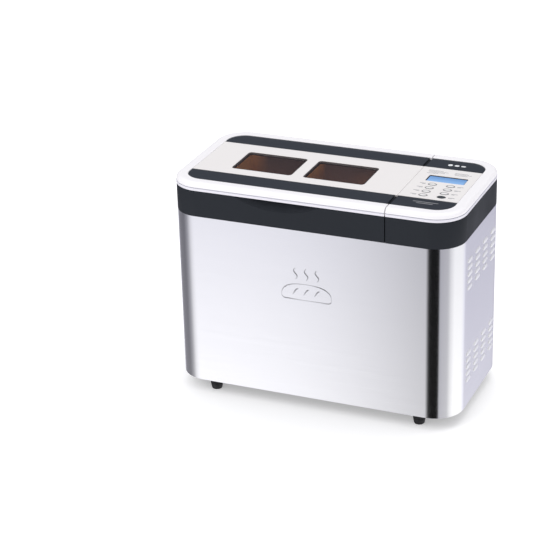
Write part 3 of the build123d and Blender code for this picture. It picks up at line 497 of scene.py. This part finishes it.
def steel_skin():
    """The brushed wrap: one bent sheet with slits behind its louvres and a notch for the gland."""
    outer, inner = STEEL_INSET, STEEL_INSET + SHEET
    low, high = WRAP_LOW.z, WRAP_HIGH.z
    profile = [(outer, low + SHEET_EDGE), (outer + SHEET_EDGE, low), (inner - SHEET_EDGE, low),
               (inner, low + SHEET_EDGE), (inner, high - 0.2 * MM), (outer + 0.4 * MM, high),
               (outer, high - 0.4 * MM)]
    shape = swept(profile, body_path(corner_steps=32), closed=True)
    skin = shape.piece("steel_skin", "housing", [MATERIALS["brushed_steel_skin"]],
                       replaced=("outer_wrap",), slot="brushed_steel_skin")
    cut_piece(skin, skin_openings())


def skin_openings():
    """The slits behind the louvres and the gland's notch, as blocks that reach through the sheet."""
    cutter = Shape()
    slit_half = (LOUVRE_LENGTH - LOUVRE_TALL) / 2
    for side in (-1, 1):
        for y, z in louvre_spots():
            z_low = z - LOUVRE_TALL / 2 + LOUVRE_LIP
            cutter.block((side * (HALF_W - CUT_IN), y - slit_half, z_low),
                         (side * (HALF_W + CUT_OUT), y + slit_half, z_low + SLIT_TALL))
    gland_low, gland_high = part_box("cord_gland")
    gland_x, gland_z = (gland_low.x + gland_high.x) / 2, (gland_low.z + gland_high.z) / 2
    cutter.block((gland_x - GLAND_NOTCH, HALF_D - CUT_IN, WRAP_LOW.z - 1 * MM),
                 (gland_x + GLAND_NOTCH, HALF_D + CUT_OUT, gland_z + GLAND_NOTCH))
    return cutter


def cut_piece(piece, cutter):
    """Subtracts a closed shape from a piece for good."""
    tool = place_object("cutter", outward_mesh("cutter", cutter.verts, cutter.faces))
    difference = piece.modifiers.new("cut", "BOOLEAN")
    difference.object = tool
    difference.solver = "EXACT"
    bpy.context.view_layer.update()
    graph = bpy.context.evaluated_depsgraph_get()
    result = bpy.data.meshes.new_from_object(piece.evaluated_get(graph))
    piece.modifiers.clear()
    piece.data = result
    bpy.data.objects.remove(tool)
    shade(result)


def hood_sheet(y, slit_z, side, lift):
    """One face of a louvre's dome, as rows of points from its top down to the slit."""
    across, down = LOUVRE_STEPS
    wall = HALF_W - STEEL_INSET
    out = WRAP_HIGH.x - wall
    rows = []
    for j in range(down + 1):
        v = j / down
        row = []
        for i in range(across + 1):
            u = 2 * i / across - 1
            tall = (LOUVRE_TALL - LOUVRE_LIP) * math.sqrt(max(0, 1 - abs(u) ** 6))
            rise = out * math.sin(v * math.pi / 2) ** 0.8 * math.sqrt(max(0, 1 - u ** 4))
            row.append((side * (wall + max(rise + lift, -LOUVRE_SKIN)),
                        y + u * LOUVRE_LENGTH / 2, slit_z + tall * (1 - v)))
        rows.append(row)
    return rows


def louvre_hoods():
    """Domed louvres pressed out of both sides, each open at its lower edge."""
    shape = Shape()
    for side in (-1, 1):
        for y, z in louvre_spots():
            slit_z = z - LOUVRE_TALL / 2 + LOUVRE_LIP
            outside = hood_sheet(y, slit_z, side, 0)
            inside = hood_sheet(y, slit_z, side, -LOUVRE_SKIN)
            shape.strip(outside + inside[::-1], closed_columns=False)
    # painted light: the hoods get a brighter half-metal copy of the wrap's steel
    shape.piece("louvre_hoods", "housing", [MATERIALS["louvre_steel_painted_light"]],
                slot="brushed_steel_skin", sharp_angle=60)


# ------------------------------------------------------------------ emboss on the front

EMBOSS_X = -4 * MM
EMBOSS_Z = 162 * MM
RIDGE_WIDTH = 1.7 * MM
RIDGE_HEIGHT = 0.55 * MM
RIDGE_STEPS = 6
# In mm from the emboss's place: the loaf's half length, rise and base, its cuts, and the steam
LOAF_HALF = 35
LOAF_RISE = 20
LOAF_Z = 2
LOAF_STEPS = 40
BASE_HALF = 31
BASE_Z = -1
OFFSETS = (-15, 0, 15)
CUT_Z = 6
CUT_LENGTH = 8
CUT_RISE = 9
STEAM_Z = 28
STEAM_TALL = 16
STEAM_SWAY = 2.4


def bead(shape, points):
    """A low rounded ridge on the front face, along points (x, z) in mm from the emboss's place."""
    plane_y = -(HALF_D - STEEL_INSET)
    placed = [(EMBOSS_X + x * MM, EMBOSS_Z + z * MM) for x, z in points]
    last = len(placed) - 1
    rows = []
    for i, (x, z) in enumerate(placed):
        before = placed[max(i - 1, 0)]
        after = placed[min(i + 1, last)]
        along_x, along_z = after[0] - before[0], after[1] - before[1]
        length = math.hypot(along_x, along_z)
        side_x, side_z = -along_z / length, along_x / length
        taper = min(1, 0.25 + 3 * min(i, last - i) / len(placed))
        row = []
        for k in range(RIDGE_STEPS + 1):
            across = 2 * k / RIDGE_STEPS - 1
            reach = across * RIDGE_WIDTH * taper / 2
            row.append((x + side_x * reach, plane_y - RIDGE_HEIGHT * (1 - across * across) * taper,
                        z + side_z * reach))
        rows.append(row)
    shape.strip(rows, closed_columns=False)


def front_emboss():
    """A plain loaf with three cuts and three wisps of steam, raised a little from the steel."""
    shape = Shape()
    turns = [math.pi * i / LOAF_STEPS for i in range(LOAF_STEPS + 1)]
    bead(shape, [(LOAF_HALF * math.cos(t) * (1 + 0.10 * math.sin(t) ** 2),
                  LOAF_Z + LOAF_RISE * max(math.sin(t), 0) ** 0.7) for t in turns])
    bead(shape, [(-LOAF_HALF, LOAF_Z), (-BASE_HALF, BASE_Z), (BASE_HALF, BASE_Z), (LOAF_HALF, LOAF_Z)])
    for offset in OFFSETS:
        bead(shape, [(offset - CUT_LENGTH / 2 + i,
                      CUT_Z + CUT_RISE * math.sin(math.pi / 2 * i / CUT_LENGTH))
                     for i in range(CUT_LENGTH + 1)])
        bead(shape, [(offset + STEAM_SWAY * math.sin(2 * math.pi * i / STEAM_TALL), STEAM_Z + i)
                     for i in range(STEAM_TALL + 1)])
    shape.piece("front_emboss", "housing", [MATERIALS["emboss_steel"]],
                slot="brushed_steel_skin", sharp_angle=80)


# ------------------------------------------------------------------ feet

FOOT_TOP_R = 9.5 * MM
# Radius and height in mm: the underside, the tapered outside, the groove, the collar, the recess
FOOT_PROFILE = (
    (4.4, 0), (5.8, 0), (6.7, 0.35), (7.2, 1.2), (8.0, 5.5), (8.4, 8.4), (8.0, 8.8), (8.1, 9.4),
    (8.7, 9.8), (9.3, 16.6), (9.0, 17.9), (4.4, 17.9), (4.4, 7.0),
)


def feet():
    """Four tapered rubber feet with a groove under the collar and a screw recess below."""
    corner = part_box("feet")[1]
    centre_x, centre_y = corner.x - FOOT_TOP_R, corner.y - FOOT_TOP_R
    shape = Shape()
    for sign_x in (-1, 1):
        for sign_y in (-1, 1):
            rows = [oval(sign_x * centre_x, sign_y * centre_y, radius * MM, radius * MM, z * MM)
                    for radius, z in FOOT_PROFILE]
            shape.strip(rows, closed_rows=True)
    shape.piece("rubber_feet", "housing", [MATERIALS["foot_rubber"]],
                replaced=("feet",), slot="foot_rubber")


# ------------------------------------------------------------------ rims

SKIRT_TALL = 3.3 * MM
GROOVE_DEEP = 1.3 * MM
SHOULDER_R = 6.0 * MM
SHOULDER_STEPS = 12
INNER_R = 0.9 * MM


def rim_profile():
    """Cross-section of the pale rim: flat skirt, groove, rounded shoulder, flat top, inner edge."""
    low, high = RIM_LOW.z, RIM_HIGH.z
    step = low + SKIRT_TALL
    skirt = [(0.9 * MM, low), (0.2 * MM, low + 0.1 * MM), (0, low + 0.5 * MM), (0, step)]
    groove = [(0.2 * MM, step + 0.2 * MM), (GROOVE_DEEP, step + 0.4 * MM),
              (GROOVE_DEEP, step + 1.1 * MM)]
    shoulder = arc(SHOULDER_R + 0.3 * MM, high - SHOULDER_R, SHOULDER_R, 180, 90, SHOULDER_STEPS)
    top = [(10 * MM, high), (RIM_WIDTH - INNER_R, high - 0.1 * MM)]
    inner = arc(RIM_WIDTH - INNER_R, high - 0.1 * MM - INNER_R, INNER_R, 90, 0, 4)
    rest = [(0.4 * MM, step + 1.3 * MM)] + shoulder + top + inner
    rest += [(RIM_WIDTH, low + 0.2 * MM), (RIM_WIDTH - 0.3 * MM, low)]
    # The skirt gets a painted shade and the groove a painted shadow
    kinds = [2] * len(skirt) + [1] * len(groove) + [0] * len(rest)
    return skirt + groove + rest, kinds


def rims():
    """The pale rims of the lid and of the control side, with a painted shade on the skirt and a painted
    shadow in the groove.
    """
    stretch = (RIM_SIDE / RIM_WIDTH, RIM_FRONT / RIM_WIDTH)
    materials = [MATERIALS[key] for key in ("white_plastic", "rim_groove_painted_shadow", "rim_skirt_painted_shade")]
    profile, kinds = rim_profile()
    for name, path, body in (
        ("lid_rim", body_path(x_high=LID_END), "lid"),
        ("control_rim", body_path(x_low=CONTROL_START), "housing"),
    ):
        shape = swept(profile, path, closed=False, stretch=stretch)
        spans = len(path) - 1
        shape.kinds[:spans * len(kinds)] = kinds * spans
        shape.piece(name + "_shell", body, materials, replaced=(name,), slot="white_plastic")


# ------------------------------------------------------------------ controls

KEY_HALF_DEPTH = 3.8 * MM
# A cap's radius as a share of the key's, and its height over the top in mm: ring, groove, face
CAP_PROFILE = (
    (0.94, -2.6), (1.0, -2.5), (1.0, -0.7), (0.97, -0.25), (0.91, 0.0), (0.86, -0.1), (0.83, -0.45),
    (0.79, -0.45), (0.76, -0.25), (0.55, -0.1), (0.3, -0.03), (0.05, 0.0),
)
CAP_RING_ROWS = 8
CAP_DEPTH = 2.6 * MM
STEM_R = 2.5 * MM
CLIP_R = 4 * MM
CLIP_THICK = 0.6 * MM


def key_nodes():
    """The CAD nodes of the eight keys."""
    return [name for name in frame["nodes"] if name.startswith("button_")]


def keys():
    """Eight oval keys: a raised ring, a groove and a shallow dome inside it."""
    for name in key_nodes():
        low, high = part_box(name)
        x, y = (low.x + high.x) / 2, (low.y + high.y) / 2
        radius_x = (high.x - low.x) / 2
        top = high.z
        dark = name == "button_start"
        face = MATERIALS["button_dark" if dark else "button_face"]
        ring = MATERIALS["button_dark" if dark else "button_grey"]
        rows = [oval(x, y, radius_x * share, KEY_HALF_DEPTH * share, top + rise * MM)
                for share, rise in CAP_PROFILE]
        shape = Shape()
        shape.strip(rows[:CAP_RING_ROWS], kind=0)
        shape.strip(rows[CAP_RING_ROWS - 1:], kind=1)
        shape.cap(rows[-1], kind=1)
        shape.cap(rows[0])
        for radius, ends in ((STEM_R, (top - CAP_DEPTH, low.z)), (CLIP_R, (low.z + CLIP_THICK, low.z))):
            rod = [oval(x, y, radius, radius, z) for z in ends]
            shape.strip(rod)
            for row in rod:
                shape.cap(row)
        shape.piece(name + "_cap", name, [ring, face], replaced=(name,),
                    slot="button_dark" if dark else "button_grey")


# ------------------------------------------------------------------ printing

PRINT_THICK = 0.06 * MM
KEYS_MIDDLE_X = 147 * MM
LABEL_GAP = 3.2 * MM
# The two bars of a key's label: length, depth and shift along y
LABEL_BARS = ((8.5 * MM, 0.9 * MM, 1.0 * MM), (5.0 * MM, 0.8 * MM, -1.1 * MM))
# The notes behind the display: y of the first row, then each row's start and length, all in mm
NOTES = (
    (43.5, ((114, 20), (114, 28), (116, 22), (114, 16))),
    (42, ((150, 19), (150, 24), (152, 17))),
)
NOTE_PITCH = 3.4
NOTE_DEPTH = 0.8 * MM
# Dots on the rear trim, in mm: the first one's x, their y, pitch and size, and each one's loss
DOT_X = 135
DOT_Y = 69
DOT_PITCH = 9
DOT_SIZE = 6.6
DOT_LOSS = 1.4
# Bars on the front trim, in mm
BAR_X = 145
BAR_Y = -64
BAR_PITCH = 4.5
BAR_LENGTHS = (34, 22)
BAR_DEPTH = 1.3


def mark(shape, x, y, width, depth, z, kind=0):
    """A printed bar: a very thin plate with round ends."""
    radius = min(width, depth) / 2 * 0.98
    outline = [(x + px, y + py) for px, py in rounded_rectangle(width, depth, radius, 4)]
    rows = [[(px, py, level) for px, py in outline] for level in (z, z + PRINT_THICK)]
    shape.strip(rows, kind=kind)
    shape.cap(rows[1], kind)
    shape.cap(rows[0], kind)


def printed_marks():
    """Short plain bars where such a panel has its labels and notes."""
    z = FASCIA_HIGH.z
    shape = Shape()
    for name in key_nodes():
        low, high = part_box(name)
        y = (low.y + high.y) / 2
        on_left = (low.x + high.x) / 2 < KEYS_MIDDLE_X
        edge = low.x - LABEL_GAP if on_left else high.x + LABEL_GAP
        outward = -1 if on_left else 1
        for length, depth, shift in LABEL_BARS:
            mark(shape, edge + outward * length / 2, y + shift, length, depth, z)
    for first_y, bars in NOTES:
        for row, (start, length) in enumerate(bars):
            mark(shape, (start + length / 2) * MM, (first_y - NOTE_PITCH * row) * MM, length * MM,
                 NOTE_DEPTH, z)
    shape.piece("printed_marks", "housing", [MATERIALS["print_grey"]], slot="button_grey")


def trim_marks():
    """Three pale dots on the rear black trim and two dim bars on the front one."""
    shape = Shape()
    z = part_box("control_rear_trim")[1].z
    for place in range(3):
        mark(shape, (DOT_X + DOT_PITCH * place) * MM, DOT_Y * MM, DOT_SIZE * MM,
             (DOT_SIZE - DOT_LOSS * place) * MM, z)
    for row, length in enumerate(BAR_LENGTHS):
        mark(shape, BAR_X * MM, (BAR_Y - BAR_PITCH * row) * MM, length * MM, BAR_DEPTH * MM, z, kind=1)
    shape.piece("trim_marks", "housing", [MATERIALS["print_pale"], MATERIALS["print_dim"]],
                slot="white_plastic")


# ------------------------------------------------------------------ windows and display

PANE_SIZE = (85.0 * MM, 62.8 * MM)
PANE_CORNER = 4.7 * MM
BORDER_WIDTH = 1.3 * MM
BORDER_LEVELS = (0.01 * MM, 0.06 * MM)
WELL_SIZE = (79.4 * MM, 57.2 * MM)
WELL_CORNER = 4 * MM
WELL_WALL = 0.3 * MM
WELL_STEP = 3 * MM
WELL_GAP = 0.1 * MM
# How far the well's two faces are drawn in at their last step and at the bottom
WELL_INSIDE = (1.4 * MM, 1.8 * MM)
WELL_OUTSIDE = (1.0 * MM, 1.4 * MM)
# How each window's well is painted with light and shade: its painted shade under the sill and its colour
# at the bottom, how far the painted amber light reaches from the left end, how strong it stays there at
# the bottom, and how strong it is at the bottom of the right end
WELLS = {
    "left": ((0.11, 0.085, 0.10), (0.36, 0.23, 0.19), 26 * MM, 1.0, 0.0),
    "right": ((0.17, 0.12, 0.125), (0.52, 0.32, 0.26), 7 * MM, 0.2, 0.8),
}
PAINTED_AMBER_LIGHT = (0.95, 0.42, 0.14)
BEZEL_CORNER = 1.2 * MM
BEZEL_RISE = 0.7 * MM
BEZEL_LIP = 0.45 * MM
BEZEL_WIDTH = 0.9 * MM
BEZEL_GAP = 0.02 * MM


def well_wall_painted_light(side, x, sill, bottom):
    """The inside of a well, all painted light: a painted shade under the sill, browner below, and painted
    amber light towards its ends.
    """
    painted_shade_tone, lower, reach, kept, far = WELLS[side]
    made = Shader("well_wall_painted_light_" + side, painted_shade_tone, 0.45)
    place = made.split()
    depth = made.ramp(place["Z"], 1, 0, bottom, sill)
    left_x, right_x = x - WELL_SIZE[0] / 2, x + WELL_SIZE[0] / 2
    # painted light: amber towards the left end, fading with depth, and at the bottom of the right end
    painted_left_light = made.product(made.ramp(place["X"], 1, 0, left_x, left_x + reach),
                             made.ramp(depth, 1, kept))
    painted_right_light = made.product(made.ramp(place["X"], 0, far, x, right_x), depth)
    tone = made.mix(depth, painted_shade_tone, lower)
    tone = made.mix(painted_right_light, tone, PAINTED_AMBER_LIGHT)
    made.link(made.mix(painted_left_light, tone, PAINTED_AMBER_LIGHT), "Base Color")
    made.bump(made.noise(700, detail=2), 0.25, 0.02 * MM)
    return made.material


def level_loops(x, y, size, corner, insets_and_levels):
    """Rounded rectangles about a point, each drawn in by an inset and set at a level."""
    width, depth = size
    return [
        [(x + px, y + py, z)
         for px, py in rounded_rectangle(width - 2 * inset, depth - 2 * inset, corner - inset)]
        for inset, z in insets_and_levels
    ]


def window_painted_shade_border(side, x, y):
    """A thin dark border on the glass, a painted shade of the window's recess."""
    low, high = (PANES_HIGH.z + level for level in BORDER_LEVELS)
    border = Shape()
    border.strip(level_loops(x, y, PANE_SIZE, PANE_CORNER, (
        (0, low), (0, high), (BORDER_WIDTH, high), (BORDER_WIDTH, low))), closed_rows=True)
    border.piece("window_painted_shade_border_" + side, "lid", [MATERIALS["painted_shade_print"]], slot="black_gloss")


def window_well(side, x, y):
    """A thin-walled tube that narrows from under the glass down to the inner pane."""
    sill = PANES_LOW.z - WELL_GAP
    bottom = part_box("inner_panes")[1].z + WELL_GAP
    well = Shape()
    well.strip(level_loops(x, y, WELL_SIZE, WELL_CORNER, (
        (0, sill), (0, sill - WELL_STEP), (WELL_INSIDE[0], bottom + WELL_STEP),
        (WELL_INSIDE[1], bottom), (WELL_OUTSIDE[1], bottom), (WELL_OUTSIDE[0], bottom + WELL_STEP),
        (-WELL_WALL, sill - WELL_STEP), (-WELL_WALL, sill))), closed_rows=True)
    well.piece("window_well_" + side, "lid", [well_wall_painted_light(side, x, sill, bottom)], slot="chamber_steel")


def windows():
    """The border and the well of both windows."""
    y = (PANES_LOW.y + PANES_HIGH.y) / 2
    half = PANE_SIZE[0] / 2
    for side, x in (("left", PANES_LOW.x + half), ("right", PANES_HIGH.x - half)):
        window_painted_shade_border(side, x, y)
        window_well(side, x, y)


def display_bezel():
    """A thin frame round the display, sloping in to just above its lens, dark as a painted shade of the
    display's recess.
    """
    low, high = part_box("display_lens")
    x, y = (low.x + high.x) / 2, (low.y + high.y) / 2
    size = (high.x - low.x, high.y - low.y)
    top = high.z + BEZEL_RISE
    shape = Shape()
    shape.strip(level_loops(x, y, size, BEZEL_CORNER, (
        (0, high.z), (0, top), (BEZEL_LIP, top), (BEZEL_WIDTH, high.z + BEZEL_GAP))), closed_rows=True)
    shape.piece("display_bezel", "housing", [MATERIALS["painted_shade_print"]], slot="black_gloss")


# ------------------------------------------------------------------ camera, lights and floor

# The camera's place, in degrees from the front towards the control side, degrees above the floor
# and metres from the point it looks at, then its turn about its own axis in degrees
AZIMUTH = 23.15
ELEVATION = 24.58
DISTANCE = 2.650
ROLL = -1.48
TARGET = (-0.0847, 0.0, 0.1343)
LENS = 124.5
SENSOR = 36


def place_camera():
    """A long lens from the front right."""
    azimuth = math.radians(AZIMUTH)
    elevation = math.radians(ELEVATION)
    roll = math.radians(ROLL)
    toward = Vector((
        math.sin(azimuth) * math.cos(elevation),
        -math.cos(azimuth) * math.cos(elevation),
        math.sin(elevation),
    ))
    right = (-toward).cross(Vector((0, 0, 1))).normalized()
    up = right.cross(-toward)
    rolled_right = math.cos(roll) * right + math.sin(roll) * up
    rolled_up = math.cos(roll) * up - math.sin(roll) * right
    data = bpy.data.cameras.new("camera")
    data.lens = LENS
    data.sensor_width = SENSOR
    data.clip_end = 50
    camera = place_object("camera", data)
    basis = Matrix((rolled_right, rolled_up, toward)).transposed()
    camera.matrix_world = Matrix.Translation(Vector(TARGET) + toward * DISTANCE) @ basis.to_4x4()
    bpy.context.scene.camera = camera


def softbox(name, place, target, size, power):
    """A rectangular area light that faces a point, and that reflections don't see."""
    data = bpy.data.lights.new(name, "AREA")
    data.shape = "RECTANGLE"
    data.size, data.size_y = size
    data.energy = power
    light = place_object(name, data)
    light.visible_glossy = False
    facing = Vector(target) - Vector(place)
    light.matrix_world = Matrix.Translation(place) @ facing.to_track_quat("-Z", "Y").to_matrix().to_4x4()


# How bright the studio walls look in a reflection, and how blue, by azimuth in degrees from the
# front towards the control side: white walls, a black flag in front and a grey one at the left
WALLS = (
    (-180, 0.60, 0.9), (-142, 0.70, 0.8), (-120, 0.24, 0.8), (-84, 0.20, 0.8), (-66, 0.42, 0.6),
    (-51, 0.92, 0.3), (-38, 1.06, 0.3), (-26.7, 1.09, 0.3), (-24.5, 1.06, 0.3), (-22.3, 1.00, 0.3),
    (-20.1, 0.91, 0.3), (-18.9, 0.80, 0.3), (-17.6, 0.62, 0.3), (-9.0, 0.06, 0.2), (-5, 0.0, 0.2),
    (31.3, 0.0, 0.2), (33.2, 0.52, 0.6), (66, 0.58, 0.4), (72, 0.80, 0.2), (92, 1.10, 0.0),
    (132, 1.08, 0.0), (148, 0.96, 0.8), (163, 0.64, 1.1), (172, 0.58, 1.1),
)
# How the walls change with height, from straight down to straight up
WALL_HEIGHTS = (
    (0.0, 1.20), (0.27, 1.10), (0.42, 0.98), (0.50, 0.62), (0.58, 0.26), (0.78, 0.24), (0.88, 0.95),
    (1.0, 1.20),
)
# What full blue does to red, green and blue
WALL_TINT = (-0.06, -0.07, 0.06)
FLOOR_HALF = 8.0


def fill_ramp(ramp, stops):
    """Sets a colour ramp's stops from (position, colour) pairs."""
    elements = ramp.color_ramp.elements
    while len(elements) < len(stops):
        elements.new(0.5)
    for element, (position, colour) in zip(elements, stops):
        element.position = position
        element.color = (*colour, 1)


def wall_background(nodes, links):
    """The background that reflections see, with its levels by azimuth and by height."""
    direction = nodes.new("ShaderNodeTexCoord").outputs["Generated"]
    split = nodes.new("ShaderNodeSeparateXYZ")
    links.new(direction, split.inputs[0])
    back = nodes.new("ShaderNodeMath")
    back.operation = "MULTIPLY"
    back.inputs[1].default_value = -1
    links.new(split.outputs["Y"], back.inputs[0])
    azimuth = nodes.new("ShaderNodeMath")
    azimuth.operation = "ARCTAN2"
    links.new(split.outputs["X"], azimuth.inputs[0])
    links.new(back.outputs[0], azimuth.inputs[1])
    around = nodes.new("ShaderNodeMapRange")
    around.inputs["From Min"].default_value = -math.pi
    around.inputs["From Max"].default_value = math.pi
    links.new(azimuth.outputs[0], around.inputs["Value"])
    ramp = nodes.new("ShaderNodeValToRGB")
    fill_ramp(ramp, [
        ((degrees + 180) / 360, tuple(level * (1 + tint * blue) for tint in WALL_TINT))
        for degrees, level, blue in WALLS
    ])
    links.new(around.outputs["Result"], ramp.inputs["Fac"])
    climb = nodes.new("ShaderNodeMapRange")
    climb.inputs["From Min"].default_value = -1.0
    links.new(split.outputs["Z"], climb.inputs["Value"])
    height = nodes.new("ShaderNodeValToRGB")
    fill_ramp(height, [(position, (level, level, level)) for position, level in WALL_HEIGHTS])
    links.new(climb.outputs["Result"], height.inputs["Fac"])
    walls = nodes.new("ShaderNodeBackground")
    links.new(ramp.outputs["Color"], walls.inputs["Color"])
    links.new(height.outputs["Color"], walls.inputs["Strength"])
    return walls


def studio_world():
    """Soft light all round for the surfaces themselves, and walls for their reflections."""
    world = bpy.data.worlds.new("studio")
    world.use_nodes = True
    nodes = world.node_tree.nodes
    links = world.node_tree.links
    ambient = nodes["Background"]
    ambient.inputs["Color"].default_value = (0.97, 0.97, 1.0, 1)
    ambient.inputs["Strength"].default_value = 0.86
    walls = wall_background(nodes, links)
    path = nodes.new("ShaderNodeLightPath")
    either = nodes.new("ShaderNodeMixShader")
    links.new(path.outputs["Is Glossy Ray"], either.inputs["Fac"])
    links.new(ambient.outputs[0], either.inputs[1])
    links.new(walls.outputs[0], either.inputs[2])
    links.new(either.outputs[0], nodes["World Output"].inputs["Surface"])
    bpy.context.scene.world = world
    bpy.context.scene.view_settings.view_transform = "Standard"


def studio():
    """The world, two softboxes, and a pale floor that reflections don't see."""
    studio_world()
    softbox("key", (-1.3, -1.9, 2.2), (0, 0, 0.15), (1.6, 1.6), power=15)
    softbox("top", (0.3, 0.6, 2.6), (0, 0, 0.2), (2.0, 1.4), power=15)
    floor = place_object("floor", level_square("floor", FLOOR_HALF))
    floor.visible_glossy = False
    floor.data.materials.append(floor_paint())


def level_square(name, half):
    """A flat square mesh about the origin."""
    mesh = bpy.data.meshes.new(name)
    mesh.from_pydata([(-half, -half, 0), (half, -half, 0), (half, half, 0), (-half, half, 0)], [],
                     [(0, 1, 2, 3)])
    return mesh


def floor_paint():
    """Near-white matt paint that glows a little, so that the shadow stays thin."""
    made = Shader("floor_paint", (0.92, 0.92, 0.92), 0.6)
    made.bump(made.noise(60, detail=2), 0.02, 0.05 * MM)
    made.set("Emission Color", (1, 1, 1, 1))
    made.set("Emission Strength", 0.35)
    return made.material


dress_cad_nodes()
place_camera()
studio()
steel_skin()
louvre_hoods()
front_emboss()
feet()
rims()
keys()
printed_marks()
trim_marks()
windows()
display_bezel()
for node_name in ("lid_panel", "lid_front_trim", "lid_rear_trim", "control_front_trim",
                  "control_rear_trim", "lid_frame", "control_frame"):
    soften(node_name)
